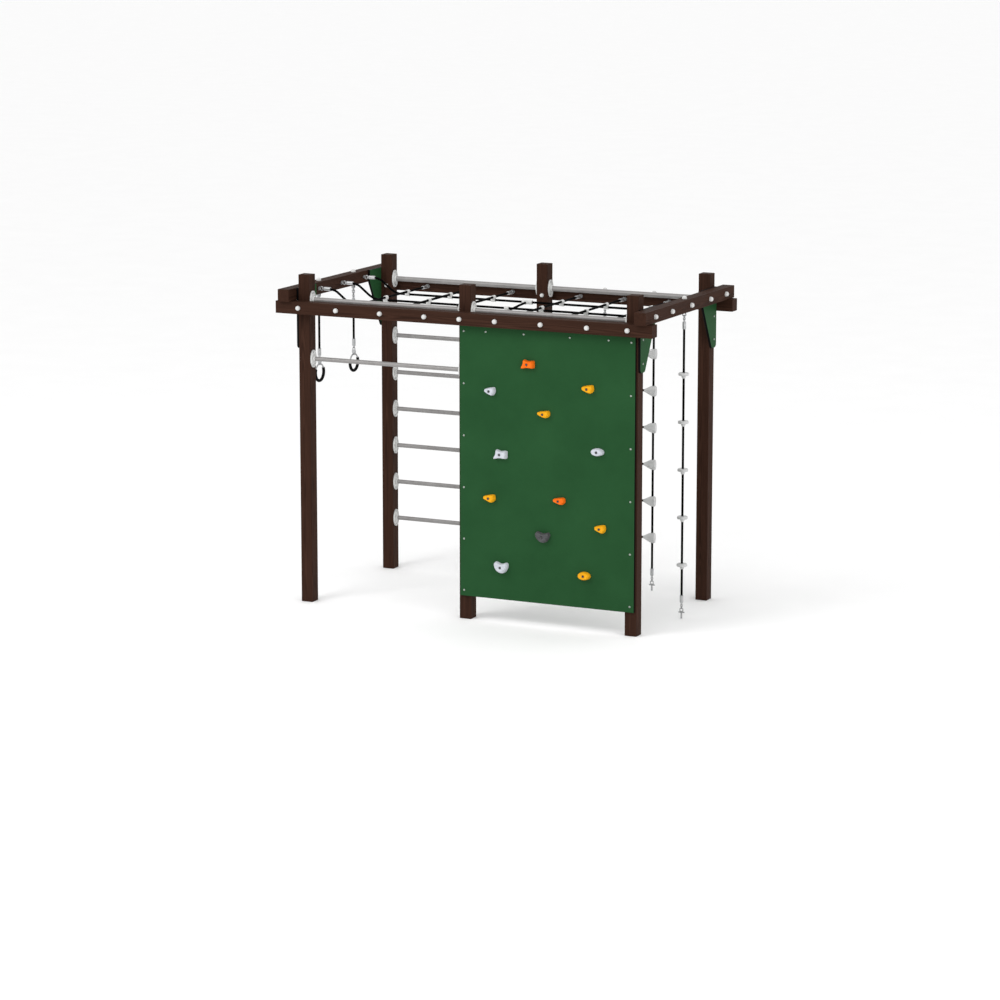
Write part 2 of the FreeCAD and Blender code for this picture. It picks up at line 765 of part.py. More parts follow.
rope = dim("rope_radius")
ferrule_radius = dim("ferrule_radius")
ferrule_long = dim("ferrule_long")
rope_seat = 40
loop_radius = 11
loop_wire = 3.5
play = 0.3
# The ferrule's own loop hangs in the eye bolt's ring, a hair clear of it.
loop_centre = eye_centre + eye_radius - eye_wire - loop_wire - play + loop_radius
ferrule_start = loop_centre + 7.3
ferrule_end = ferrule_start + ferrule_long
net_low = beam_level - dim("net_rope_gap")


def ferrule_shape():
    """A pressed ferrule along X from x = 0, with a loop behind it and a rope socket in front."""
    barrel = cylinder(ferrule_radius, Vector(0, 0, 0), Vector(ferrule_long, 0, 0))
    barrel = barrel.makeFillet(3, [e for e in barrel.Edges if e.Curve.TypeId == "Part::GeomCircle"])
    socket = cylinder(rope, Vector(ferrule_long - rope_seat, 0, 0), Vector(ferrule_long + 1, 0, 0))
    eye = loop(Vector(-7.3, 0, 0), loop_radius, loop_wire, "Z")
    return barrel.cut(socket).fuse(eye).removeSplitter()


ferrule = solid("ferrule_pattern", ferrule_shape())
ferrule_step = Placement(Vector(ferrule_start, 0, 0), Rotation())
repeat("net_ferrules", ferrule, [place.multiply(ferrule_step) for place in net_eye_places])


def rope_path(points):
    """Straight runs joined by tangent arcs, each as large as its two runs allow."""
    edges = []
    start = points[0]
    for before, corner, after in zip(points, points[1:], points[2:]):
        come = (corner - before).normalize()
        go = (after - corner).normalize()
        turn = come.getAngle(go)
        cut = 0.45 * min((corner - before).Length, (after - corner).Length)
        radius = cut / math.tan(turn / 2)
        print(f"rope bend: turn {math.degrees(turn):.1f} degrees, radius {radius:.0f} mm")
        entry = corner - come * cut
        leave = corner + go * cut
        bisector = (go - come).normalize()
        centre_reach = radius / math.cos(turn / 2)
        middle = corner + bisector * (centre_reach - radius)
        edges.append(Part.LineSegment(start, entry).toShape())
        edges.append(Part.Arc(entry, middle, leave).toShape())
        start = leave
    edges.append(Part.LineSegment(start, points[-1]).toShape())
    return Part.Wire(edges)


def rope_solid(name, points):
    """A plain round rope along a route of points."""
    path = rope_path(points)
    section = Part.Wire(Part.makeCircle(rope, points[0], points[1] - points[0]))
    shape = path.makePipeShell([section], True, True)
    expected = math.pi * rope ** 2 * path.Length
    print(f"{name}: length {path.Length:.0f} mm, volume over section x length {shape.Volume / expected:.5f}")
    return solid(name, shape)


# Each long rope leaves its ferrule level, comes down to the net and runs flat to the other end.
long_start = cross_beam_x - half_side - ferrule_end + rope_seat
for place, y in long_rope_y.items():
    left_end = [(-long_start, cross_level), (-1308, cross_level), (-1160, net_low)]
    right_end = [(-x, z) for x, z in reversed(left_end)]
    route = [Vector(x, y, z) for x, z in left_end + right_end]
    label = f"net_rope_{place}"
    node(rope_solid(label, route), label)

cross_start = long_beam_y - half_side - ferrule_end + rope_seat
cross_rope = solid(
    "cross_rope_pattern", cylinder(rope, Vector(0, -cross_start, 0), Vector(0, cross_start, 0))
)
repeat("net_cross_ropes", cross_rope, [at(x, 0, beam_level) for x in net_x])

# The centre rope runs between two tees on the outer long ropes and dips under the middle one.
tee_seat = dim("long_rope_pitch") - 12
under_middle = net_low - dim("net_rope_gap")
centre_route = [(-tee_seat, net_low), (-300, net_low), (-60, under_middle)]
centre_route += [(-y, z) for y, z in reversed(centre_route)]
centre_rope = rope_solid("net_centre_rope", [Vector(0, y, z) for y, z in centre_route])
node(centre_rope, "net_centre_rope")

# A cross connector is two short sleeves moulded together, one over each rope.
sleeve = 15
sleeve_long = 36
half_drop = dim("net_rope_gap") / 2


def cross_connector():
    """Upper sleeve along Y, lower sleeve along X, about the point half way between the ropes."""
    upper = cylinder(sleeve, Vector(0, -sleeve_long / 2, half_drop), Vector(0, sleeve_long / 2, half_drop))
    lower = cylinder(sleeve, Vector(-sleeve_long / 2, 0, -half_drop), Vector(sleeve_long / 2, 0, -half_drop))
    shape = upper.fuse(lower)
    shape = shape.cut(cylinder(rope, Vector(0, -sleeve_long, half_drop), Vector(0, sleeve_long, half_drop)))
    return shape.cut(cylinder(rope, Vector(-sleeve_long, 0, -half_drop), Vector(sleeve_long, 0, -half_drop)))


def tee_connector():
    """A long sleeve on the long rope with a socket towards +Y for the centre rope's end."""
    bar = cylinder(18, Vector(-42, 0, 0), Vector(42, 0, 0))
    stem = cylinder(sleeve, Vector(0, 0, 0), Vector(0, 45, 0))
    shape = bar.fuse(stem)
    shape = shape.cut(cylinder(rope, Vector(-50, 0, 0), Vector(50, 0, 0)))
    return shape.cut(cylinder(rope, Vector(0, 12, 0), Vector(0, 50, 0)))


connector = solid("cross_connector_pattern", cross_connector())
tee = solid("tee_connector_pattern", tee_connector())
connector_level = beam_level - half_drop
connectors = [(connector, at(x, y, connector_level)) for x in net_x for y in long_rope_y.values()]
connectors.append((connector, at(0, 0, net_low - half_drop, "Z", 90)))
connectors.append((tee, at(0, long_rope_y["front"], net_low)))
connectors.append((tee, at(0, long_rope_y["back"], net_low, "Z", 180)))
connector_copies = []
for master, place in connectors:
    copy = doc.addObject("App::Link", "net_connector")
    copy.LinkedObject = master
    copy.LinkPlacement = place
    connector_copies.append(copy)
gather("net_connectors", connector_copies)

# ---- rope ladder and foothold rope ---------------------------------------------------------

link_long = 22
link_wide = 15.6
link_wire = 3
next_link = link_long - 2 * link_wire - play
foot_ferrule_top = 182
eye_reach = eye_centre + eye_radius - eye_wire


top_links = 2
chain_shapes = []
ferrule_places = []
rope_runs = {}
lines = {
    "ladder_rope_left": (ladder_x[0], long_beam_y, beam_top - side),
    "ladder_rope_right": (ladder_x[1], long_beam_y, beam_top - side),
    "knob_rope": (cross_beam_x, knob_rope_y, beam_top),
}
shackle_wire = 4
shackle_half = 12
pin_level = 49
for label, (x, y, top) in lines.items():
    wire_level = top - eye_reach + link_wire + play
    levels = [wire_level - link_long / 2 - step * next_link for step in range(top_links)]
    for number, level in enumerate(levels):
        link = stadium(link_long, link_wide, link_wire, "Y" if number % 2 else "X")
        chain_shapes.append(link.translated(Vector(x, y, level)))
    last_wire = levels[-1] - link_long / 2
    loop_top = last_wire + link_wire + loop_wire + play
    ferrule_top = loop_top - loop_radius - 7.3
    foot_end = foot_ferrule_top - ferrule_long
    ferrule_places.append(Placement(Vector(x, y, ferrule_top), down))
    ferrule_places.append(Placement(Vector(x, y, foot_end), upwards))
    rope_runs[label] = (ferrule_top - ferrule_long + rope_seat, foot_ferrule_top - rope_seat)
    # Two links, then a bow shackle whose pin holds the ground anchor.
    foot_loop = foot_end - 7.3 - loop_radius
    wire_level = foot_loop + loop_wire + link_wire + play
    for number in range(2):
        level = wire_level - link_long / 2 - number * next_link
        link = stadium(link_long, link_wide, link_wire, "X" if number % 2 else "Y")
        chain_shapes.append(link.translated(Vector(x, y, level)))
    bow_top = level - link_long / 2 + link_wire + shackle_wire + play
    bow_centre = bow_top - shackle_half
    bow_path = Part.Wire([
        Part.LineSegment(Vector(-shackle_half, 0, pin_level), Vector(-shackle_half, 0, bow_centre)).toShape(),
        Part.Arc(
            Vector(-shackle_half, 0, bow_centre), Vector(0, 0, bow_top), Vector(shackle_half, 0, bow_centre)
        ).toShape(),
        Part.LineSegment(Vector(shackle_half, 0, bow_centre), Vector(shackle_half, 0, pin_level)).toShape(),
    ])
    bow_section = Part.Wire(
        Part.makeCircle(shackle_wire, Vector(-shackle_half, 0, pin_level), Vector(0, 0, 1))
    )
    bow = bow_path.makePipeShell([bow_section], True, True)
    pin = cylinder(5, Vector(-24, 0, pin_level), Vector(24, 0, pin_level))
    chain_shapes.append(bow.fuse(pin).removeSplitter().translated(Vector(x, y, 0)))
gather("chain_links", [solid("chain_set", Part.makeCompound(chain_shapes))])
repeat("rope_ferrules", ferrule, ferrule_places)

# Ground anchors: an eye round the shackle's pin on a stem that is cast into the ground below.
anchor_stem_radius = 7
anchor_eye = cylinder(11, Vector(-5, 0, pin_level), Vector(5, 0, pin_level))
anchor_stem_top = pin_level - 13
anchor_stem = cylinder(anchor_stem_radius, Vector(0, 0, 3), Vector(0, 0, anchor_stem_top))
anchor_neck = cylinder(4.8, Vector(0, 0, anchor_stem_top - 1), Vector(0, 0, pin_level - 7))
anchor_shape = anchor_eye.fuse([anchor_stem, anchor_neck])
anchor_shape = anchor_shape.cut(cylinder(5, Vector(-8, 0, pin_level), Vector(8, 0, pin_level)))
anchor = solid("anchor_pattern", anchor_shape.removeSplitter())
repeat("ground_anchors", anchor, [at(x, y, 0) for x, y, _ in lines.values()])

for label, (high, low) in rope_runs.items():
    x, y, _ = lines[label]
    node(solid(label, cylinder(rope, Vector(x, y, high), Vector(x, y, low))), label)

ladder_levels = [dim("ladder_top_rung") - step * dim("ladder_step") for step in range(6)]
rung_half = dim("ladder_half_wide") - 12
ladder_rung = solid("ladder_rung_pattern", cylinder(rope, Vector(-rung_half, 0, 0), Vector(rung_half, 0, 0)))
repeat("ladder_rungs", ladder_rung, [at(half_gap, long_beam_y, z) for z in ladder_levels])


def oval_ring(x, half_deep, half_tall):
    """An oval outline across X."""
    oval = Part.Ellipse(Vector(x, 0, half_tall), Vector(x, half_deep, 0), Vector(x, 0, 0))
    return Part.Wire(oval.toShape())


def rung_cone():
    """A moulded cone from the side rope at x = 0 towards the rung's middle at +X."""
    rings = [oval_ring(-22, 21, 40), oval_ring(8, 21, 41.5), oval_ring(55, 16, 21), oval_ring(75, 12, 12.5)]
    cone = Part.makeLoft(rings, True, False)
    cone = cone.cut(cylinder(rope, Vector(0, 0, -60), Vector(0, 0, 60)))
    return cone.cut(cylinder(rope, Vector(12, 0, 0), Vector(90, 0, 0)))


cone = solid("rung_cone_pattern", rung_cone())
cone_places = []
for z in ladder_levels:
    cone_places.append(at(ladder_x[0], long_beam_y, z))
    cone_places.append(at(ladder_x[1], long_beam_y, z, "Z", 180))
repeat("ladder_cones", cone, cone_places)

# Round footholds on the single rope: a thick disc on a short tapered collar, drawn along +X (up).
disc_radius = 41
disc = turned(
    "foothold_pattern",
    [
        (-24, rope),
        (-24, 12),
        (-4, 20),
        (-2, disc_radius - 3),
        (1, disc_radius),
        (14, disc_radius),
        (19, disc_radius - 4),
        (19, rope),
    ],
)
disc_levels = [dim("foothold_top") - step * dim("foothold_step") for step in range(5)]
repeat(
    "knob_discs", disc, [Placement(Vector(cross_beam_x, knob_rope_y, z), upwards) for z in disc_levels]
)

# ---- gym rings -----------------------------------------------------------------------------

# The hanger is a fork bolted up through the beam. Its pin lies along Y, so the set swings out
# square to the beam. Drawn with the pin's centre at the origin.
swing_drop = 26
pin_radius = 5
pin_play = 0.05


def swing_hanger():
    """Fork, upright bolt and the swing pin."""
    plate = cylinder(15, Vector(0, 0, swing_drop - 6), Vector(0, 0, swing_drop))
    shank = cylinder(bolt, Vector(0, 0, swing_drop - 1), Vector(0, 0, swing_drop + side + thread_end))
    fork = plate.fuse(shank)
    for sign in (-1, 1):
        cheek = cylinder(11, Vector(0, sign * 7, 0), Vector(0, sign * 12, 0))
        web = Part.makeBox(22, 5, swing_drop - 4, Vector(-11, 7 if sign > 0 else -12, 0))
        fork = fork.fuse(cheek.fuse(web))
    fork = fork.cut(cylinder(pin_radius, Vector(0, -20, 0), Vector(0, 20, 0))).removeSplitter()
    pin = cylinder(pin_radius, Vector(0, -13, 0), Vector(0, 13, 0))
    for sign in (-1, 1):
        pin = pin.fuse(cylinder(8, Vector(0, sign * 12, 0), Vector(0, sign * 16, 0)))
    return Part.makeCompound([fork, pin.removeSplitter()])


swing_level = beam_top - swing_drop
hanger = solid("swing_hanger_pattern", swing_hanger())
repeat("swing_hangers", hanger, [at(-cross_beam_x, y, swing_level) for y in ring_y.values()])

sway_drop = 27
sway_pin = 4
bow_wire = 3.5
bow_half = 9


def swivel():
    """The swinging eye: a bore along Y for the hanger's pin and one along X for the shackle's."""
    upper = cylinder(11, Vector(0, -6, 0), Vector(0, 6, 0))
    lower = cylinder(9, Vector(-5, 0, -sway_drop), Vector(5, 0, -sway_drop))
    neck = Part.makeBox(10, 12, sway_drop - 7, Vector(-5, -6, -sway_drop + 2))
    shape = upper.fuse([lower, neck])
    shape = shape.cut(cylinder(pin_radius + pin_play, Vector(0, -7, 0), Vector(0, 7, 0)))
    bore = cylinder(sway_pin + pin_play, Vector(-12, 0, -sway_drop), Vector(12, 0, -sway_drop))
    return shape.cut(bore).removeSplitter()


def bow(pin_z, foot_z):
    """A bow shackle in the XZ plane: pin along X at pin_z, its loop turned towards foot_z."""
    sign = 1 if foot_z > pin_z else -1
    centre = foot_z - sign * bow_half
    path = Part.Wire([
        Part.LineSegment(Vector(-bow_half, 0, pin_z), Vector(-bow_half, 0, centre)).toShape(),
        Part.Arc(
            Vector(-bow_half, 0, centre), Vector(0, 0, foot_z), Vector(bow_half, 0, centre)
        ).toShape(),
        Part.LineSegment(Vector(bow_half, 0, centre), Vector(bow_half, 0, pin_z)).toShape(),
    ])
    section = Part.Wire(Part.makeCircle(bow_wire, Vector(-bow_half, 0, pin_z), Vector(0, 0, 1)))
    return path.makePipeShell([section], True, True)


ring_radius = dim("ring_radius")
rod = dim("ring_rod_radius")
grip = dim("ring_grip_radius")
ring_top = dim("ring_top")
lower_ferrule_top = 1934
eye_plate_half = 5
sway_level = swing_level - sway_drop
upper_bow_foot = sway_level - 23


def ring_chain():
    """Upper shackle with its pin, and two links, as separate pieces about the beam's bolt line."""
    pin = cylinder(sway_pin, Vector(-bow_half - 4, 0, sway_level), Vector(bow_half + 4, 0, sway_level))
    shapes = [bow(sway_level, upper_bow_foot).fuse(pin).removeSplitter()]
    wire_level = upper_bow_foot + bow_wire + link_wire + play
    for number in range(2):
        level = wire_level - link_long / 2 - number * next_link
        link = stadium(link_long, link_wide, link_wire, "Y" if number % 2 else "X")
        shapes.append(link.translated(Vector(0, 0, level)))
    return Part.makeCompound(shapes), level - link_long / 2


def ring_shackle(ferrule_foot):
    """A bow through the ferrule's loop, on a diamond-shaped eye that the ring hangs in."""
    loop_foot = ferrule_foot - 7.3 - loop_radius
    bow_top = loop_foot + loop_wire + bow_wire + play
    shoulder = ring_top + 34
    outline = [
        Vector(-13, 0, shoulder),
        Vector(13, 0, shoulder),
        Vector(17, 0, ring_top + 16),
        Vector(7, 0, ring_top - 11),
        Vector(-7, 0, ring_top - 11),
        Vector(-17, 0, ring_top + 16),
        Vector(-13, 0, shoulder),
    ]
    plate = Part.Face(Part.makePolygon(outline)).extrude(Vector(0, 2 * eye_plate_half, 0))
    plate = plate.translated(Vector(0, -eye_plate_half, 0))
    plate = plate.makeFillet(2, plate.Edges)
    plate = plate.cut(cylinder(rod + 1, Vector(0, -10, ring_top), Vector(0, 10, ring_top)))
    return plate.fuse(bow(shoulder - 4, bow_top)).removeSplitter()


grip_rise = 25


def ring_grip():
    """A rubber sleeve round the ring's lower part, open at the top."""
    centre = Vector(0, 0, ring_top - ring_radius)
    rise = math.radians(grip_rise)
    start = centre + Vector(0, ring_radius * math.cos(rise), ring_radius * math.sin(rise))
    along = Vector(0, -math.sin(rise), math.cos(rise))
    section = Part.Face(Part.Wire(Part.makeCircle(grip, start, along)))
    sleeve_round = section.revolve(centre, Vector(-1, 0, 0), 180 + 2 * grip_rise)
    return sleeve_round.cut(loop(centre, ring_radius, rod, "X"))


chain_shape, last_link_foot = ring_chain()
upper_ferrule_top = last_link_foot + link_wire + loop_wire + play - loop_radius - 7.3
lower_ferrule_foot = lower_ferrule_top - ferrule_long
for place, y in ring_y.items():
    spot = at(-cross_beam_x, y, 0)
    label = f"ring_{place}"
    node(solid(f"{label}_swivel", swivel(), at(-cross_beam_x, y, swing_level)), f"{label}_swivel")
    node(solid(f"{label}_chain", chain_shape, spot), f"{label}_chain")
    repeat(
        f"{label}_ferrules",
        ferrule,
        [
            Placement(Vector(-cross_beam_x, y, upper_ferrule_top), down),
            Placement(Vector(-cross_beam_x, y, lower_ferrule_foot), upwards),
        ],
    )
    rope_top = upper_ferrule_top - ferrule_long + rope_seat
    rope_foot = lower_ferrule_top - rope_seat
    rope_shape = cylinder(rope, Vector(0, 0, rope_top), Vector(0, 0, rope_foot))
    node(solid(f"{label}_rope", rope_shape, spot), f"{label}_rope")
    node(solid(f"{label}_shackle", ring_shackle(lower_ferrule_foot), spot), f"{label}_shackle")
    hoop = loop(Vector(0, 0, ring_top - ring_radius), ring_radius, rod, "X")
    node(solid(f"{label}_hoop", hoop, spot), f"{label}_hoop")
    node(solid(f"{label}_grip", ring_grip(), spot), f"{label}_grip")

# ---- checks and files ----------------------------------------------------------------------

doc.recompute()
faults = []
for thing in doc.Objects:
    if "Invalid" in thing.State or "Error" in thing.State:
        faults.append(f"{thing.Name}: {thing.State}")
for thing in nodes:
    if thing.Shape.isNull() or not thing.Shape.isValid() or not thing.Shape.Solids:
        faults.append(f"{thing.Label}: bad shape")
if faults:
    raise RuntimeError("; ".join(faults))

os.makedirs("parts", exist_ok=True)
for thing in nodes:
    thing.Shape.exportStep(os.path.join("parts", f"{thing.Label}.step"))
    box = thing.Shape.BoundBox
    print(f"{thing.Label}: {len(thing.Shape.Solids)} solids, z {box.ZMin:.1f} to {box.ZMax:.1f}")
print(len(nodes), "sub-parts")
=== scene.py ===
import math

import bmesh
import bpy
import numpy as np
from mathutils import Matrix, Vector


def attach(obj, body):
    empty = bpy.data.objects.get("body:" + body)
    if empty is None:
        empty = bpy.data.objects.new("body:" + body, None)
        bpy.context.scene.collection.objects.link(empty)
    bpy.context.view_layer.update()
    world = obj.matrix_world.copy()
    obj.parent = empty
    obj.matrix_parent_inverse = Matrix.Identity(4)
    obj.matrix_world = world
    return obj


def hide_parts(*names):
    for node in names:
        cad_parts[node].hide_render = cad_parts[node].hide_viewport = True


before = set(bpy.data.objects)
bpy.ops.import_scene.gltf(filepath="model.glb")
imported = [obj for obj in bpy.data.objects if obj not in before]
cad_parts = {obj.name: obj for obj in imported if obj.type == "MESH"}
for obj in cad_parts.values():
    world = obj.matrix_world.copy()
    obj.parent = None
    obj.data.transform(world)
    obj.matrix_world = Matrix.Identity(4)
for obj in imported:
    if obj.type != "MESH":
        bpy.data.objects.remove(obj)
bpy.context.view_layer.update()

# ---- Posts and beams ------------------------------------------------------------------------
# Square sawn pine with rounded arrises, pressure treated and stained dark brown. Six posts stand
# in two rows, two long beams are bolted outside them and two cross beams rest on the long beams.

POST_GAP = 1.38
LONG_BEAM_Y = 0.785
LONG_BEAM_Z = 2.3275
CROSS_BEAM_X = 1.493
CROSS_BEAM_Z = 2.4225
RING_PITCH = 0.0052
RING_WANDER = 0.05
PITH_OFFSET = (0.012, 0.021)
STAIN_DARK = (0.0215, 0.0095, 0.0060, 1)
STAIN_MID = (0.0375, 0.0165, 0.0105, 1)
STAIN_PALE = (0.0590, 0.0270, 0.0175, 1)


def add_node(material, kind, feeds=None, **settings):
    """Adds a shader node. Feeds give each input a number, a colour or another node's output."""
    made = material.node_tree.nodes.new(kind)
    for key, value in settings.items():
        setattr(made, key, value)
    for key, value in (feeds or {}).items():
        if isinstance(value, bpy.types.NodeSocket):
            material.node_tree.links.new(value, made.inputs[key])
        else:
            made.inputs[key].default_value = value
    return made


def sum_of(material, operation, *values):
    """One arithmetic step on numbers or outputs."""
    return add_node(material, "ShaderNodeMath", dict(enumerate(values)), operation=operation).outputs[0]


def shades(material, factor, *stops):
    """Colours along a factor, each stop a place and a colour."""
    ramp = add_node(material, "ShaderNodeValToRGB", {"Fac": factor})
    elements = ramp.color_ramp.elements
    while len(elements) < len(stops):
        elements.new(0.5)
    for element, (place, colour) in zip(elements, stops):
        element.position = place
        element.color = colour
    return ramp.outputs["Color"]


def speckle(material, where, scale, detail=3.0, rough=0.55):
    """Even noise at a scale, between 0 and 1."""
    feeds = {"Vector": where, "Scale": scale, "Detail": detail, "Roughness": rough}
    return add_node(material, "ShaderNodeTexNoise", feeds).outputs["Fac"]


def new_finish(name, metallic=0.0, specular=0.5):
    """A material with its shader wired to the output, and the piece's own coordinates."""
    material = bpy.data.materials.new(name)
    material.use_nodes = True
    material.node_tree.nodes.clear()
    feeds = {"Metallic": metallic, "Specular IOR Level": specular}
    shader = add_node(material, "ShaderNodeBsdfPrincipled", feeds)
    add_node(material, "ShaderNodeOutputMaterial", {"Surface": shader.outputs[0]})
    where = add_node(material, "ShaderNodeTexCoord").outputs["Object"]
    return material, shader, where


def dress(material, shader, colour, roughness, height, depth):
    """Feeds a shader its colour, its roughness and a bump of some depth in metres."""
    feeds = {"Height": height, "Distance": depth, "Strength": 1.0}
    bump = add_node(material, "ShaderNodeBump", feeds)
    for key, value in (("Base Color", colour), ("Roughness", roughness), ("Normal", bump.outputs[0])):
        material.node_tree.links.new(value, shader.inputs[key])
    return material


def drawn_out(material, where, grain, along, square, detail, rough=0.55):
    """Noise with one scale along the grain and another square to it."""
    scale = [along if axis == grain else square for axis in "XYZ"]
    stretched = add_node(material, "ShaderNodeMapping", {"Vector": where, "Scale": scale})
    return speckle(material, stretched.outputs[0], 1.0, detail, rough)


def timber_finish(name, grain, across):
    """Growth rings about each timber's pith, drawn out along the grain, under a dark stain.

    The distance to the pith, bent by slow noise, runs through a sine: on a timber's end it
    shows as rings and on its sides as long streaks. Across gives, for the two axes square to
    the grain, a timber's centre and the spacing at which like timbers repeat.
    """
    material, shader, where = new_finish(name, specular=0.04)
    split = add_node(material, "ShaderNodeSeparateXYZ", {"Vector": where})
    from_pith = []
    for (axis, (centre, spacing)), offset in zip(across.items(), PITH_OFFSET):
        moved = sum_of(material, "SUBTRACT", split.outputs[axis], centre)
        local = sum_of(material, "WRAP", moved, spacing / 2, -spacing / 2)
        from_pith.append(sum_of(material, "ADD", local, offset))
    pith = add_node(material, "ShaderNodeCombineXYZ", dict(enumerate(from_pith)))
    reach = add_node(material, "ShaderNodeVectorMath", {0: pith.outputs[0]}, operation="LENGTH")
    bend = drawn_out(material, where, grain, 0.8, 9.0, 2.0)
    wander = sum_of(material, "MULTIPLY", bend, RING_WANDER)
    radius = sum_of(material, "ADD", reach.outputs["Value"], wander)
    turns = sum_of(material, "MULTIPLY", radius, 2 * math.pi / RING_PITCH)
    rings = sum_of(material, "MULTIPLY_ADD", sum_of(material, "SINE", turns), 0.5, 0.5)
    fibres = drawn_out(material, where, grain, 9.0, 420.0, 4.0, 0.65)
    streaks = drawn_out(material, where, grain, 1.7, 34.0, 3.0, 0.6)
    tone = sum_of(material, "MULTIPLY_ADD", rings, 0.22, sum_of(material, "MULTIPLY", fibres, 0.38))
    tone = sum_of(material, "MULTIPLY_ADD", streaks, 0.40, tone)
    colour = shades(material, tone, (0.30, STAIN_DARK), (0.52, STAIN_MID), (0.80, STAIN_PALE))
    roughness = sum_of(material, "MULTIPLY_ADD", streaks, 0.22, 0.50)
    relief = sum_of(material, "MULTIPLY_ADD", rings, 0.35, fibres)
    return dress(material, shader, colour, roughness, relief, depth=0.0007)


def paint(finish, *nodes):
    """Gives CAD pieces a finish."""
    for name in nodes:
        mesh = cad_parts[name].data
        mesh.materials.clear()
        mesh.materials.append(finish)


post_timber = timber_finish("post_timber", "Z", {"X": (0, POST_GAP), "Y": (POST_GAP / 2, POST_GAP)})
long_timber = timber_finish(
    "long_beam_timber", "X", {"Y": (LONG_BEAM_Y, 2 * LONG_BEAM_Y), "Z": (LONG_BEAM_Z, 1.0)}
)
cross_timber = timber_finish(
    "cross_beam_timber", "Y", {"X": (CROSS_BEAM_X, 2 * CROSS_BEAM_X), "Z": (CROSS_BEAM_Z, 1.0)}
)
for row in ("front", "back"):
    paint(post_timber, f"post_{row}_left", f"post_{row}_middle", f"post_{row}_right")
paint(long_timber, "long_beam_front", "long_beam_back", "panel_rail")
paint(cross_timber, "cross_beam_left", "cross_beam_right")

# ---- Gusset plates and climbing panel -------------------------------------------------------
# 18 mm outdoor board with a finely grained green face and black edges. The gussets are screwed
# between the corner posts and the cross beams, the panel across two front posts.

GREEN_DARK = (0.0130, 0.0560, 0.0185, 1)
GREEN = (0.0170, 0.0690, 0.0235, 1)
GREEN_PALE = (0.0215, 0.0820, 0.0290, 1)
EDGE_BLACK = (0.0035, 0.0035, 0.0038, 1)


def board_finish(name, face_axis):
    """Green on the two broad faces, square to an axis, and black on the narrow edges."""
    material, shader, where = new_finish(name, specular=0.04)
    cloud = speckle(material, where, 3.1, 4.0)
    grit = speckle(material, where, 820.0, 2.0, 0.7)
    mix = sum_of(material, "MULTIPLY_ADD", grit, 0.45, sum_of(material, "MULTIPLY", cloud, 0.55))
    green = shades(material, mix, (0.25, GREEN_DARK), (0.5, GREEN), (0.75, GREEN_PALE))
    facing = add_node(material, "ShaderNodeTexCoord").outputs["Normal"]
    split = add_node(material, "ShaderNodeSeparateXYZ", {"Vector": facing})
    broad = sum_of(material, "GREATER_THAN", sum_of(material, "ABSOLUTE", split.outputs[face_axis]), 0.95)
    blend = add_node(material, "ShaderNodeMix", {"Factor": broad}, data_type="RGBA")
    blend.inputs["A"].default_value = EDGE_BLACK
    material.node_tree.links.new(green, blend.inputs["B"])
    roughness = sum_of(material, "MULTIPLY_ADD", cloud, 0.18, 0.42)
    return dress(material, shader, blend.outputs["Result"], roughness, grit, depth=0.00035)


paint(board_finish("gusset_board", "X"), "gusset_plates")
paint(board_finish("panel_board", "Y"), "climbing_panel")

# ---- Steel tubes ----------------------------------------------------------------------------
# Drawn steel tube, powder coated light grey. Four 40 mm tubes stiffen the tops of the rows, a
# 34 mm bar and six 34 mm wall bars run across the left bays. Their ends sit in the flanges.

TUBE_LENGTH = 1.275
TOP_TUBE = (0.020, 2.38)
BAR_RADIUS = 0.017
BAR_LEVEL = 1.92
BAR_PITCH = 0.3
BAY_CENTRE = 0.69
BAR_LEVELS = [BAR_LEVEL - BAR_PITCH * step for step in range(6)]
POWDER_DARK = (0.225, 0.215, 0.210, 1)
POWDER_PALE = (0.285, 0.275, 0.270, 1)


def turned(profile, around=32):
    """A profile of (x, radius) points turned about X: each point runs round a circle."""
    x, radius = np.array(profile, float).T[:, :, None]
    angle = np.linspace(0, 2 * np.pi, around, endpoint=False)
    return np.stack([x + 0 * angle, radius * np.cos(angle), radius * np.sin(angle)], -1)


def set_at(grid, place, along=(1, 0, 0), side=(0, 0, 1)):
    """A grid moved to a place, with its own X along a direction and its own Z towards side."""
    first = np.array(along, float) / np.linalg.norm(along)
    third = np.array(side, float) - np.dot(side, first) * first
    third = third / np.linalg.norm(third)
    frame_rows = np.array([first, np.cross(third, first), third])
    return grid @ frame_rows + np.array(place, float)


def skin(name, grids, finish, body, *replaced, crease=35):
    """One mesh from grids of points, each closed round its second direction.

    Quads join neighbouring rows. Rows that meet, and rows shrunk to a point, are welded, the
    faces are turned outwards, and edges sharper than the crease angle stay crisp.
    """
    points, faces, start = [], [], 0
    for grid in grids:
        rows, columns = grid.shape[:2]
        index = start + np.arange(rows * columns).reshape(rows, columns)
        beside = np.roll(index, -1, axis=1)
        faces.append(np.stack([index[:-1], beside[:-1], beside[1:], index[1:]], -1).reshape(-1, 4))
        points.append(grid.reshape(-1, 3))
        start += rows * columns
    mesh = bpy.data.meshes.new(name)
    mesh.from_pydata(np.concatenate(points).tolist(), [], np.concatenate(faces).tolist())
    work = bmesh.new()
    work.from_mesh(mesh)
    bmesh.ops.remove_doubles(work, verts=work.verts, dist=1e-6)
    bmesh.ops.recalc_face_normals(work, faces=work.faces)
    work.to_mesh(mesh)
    work.free()
    mesh.shade_smooth()
    mesh.set_sharp_from_angle(angle=math.radians(crease))
    mesh.materials.append(finish)
    return place_piece(name, mesh, body, *replaced)


def place_piece(name, mesh, body, *replaced):
    """A piece of the object that rides on a body and stands for CAD nodes."""
    piece = bpy.data.objects.new(name, mesh)
    bpy.context.scene.collection.objects.link(piece)
    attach(piece, body)
    if replaced:
        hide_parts(*replaced)
    return piece


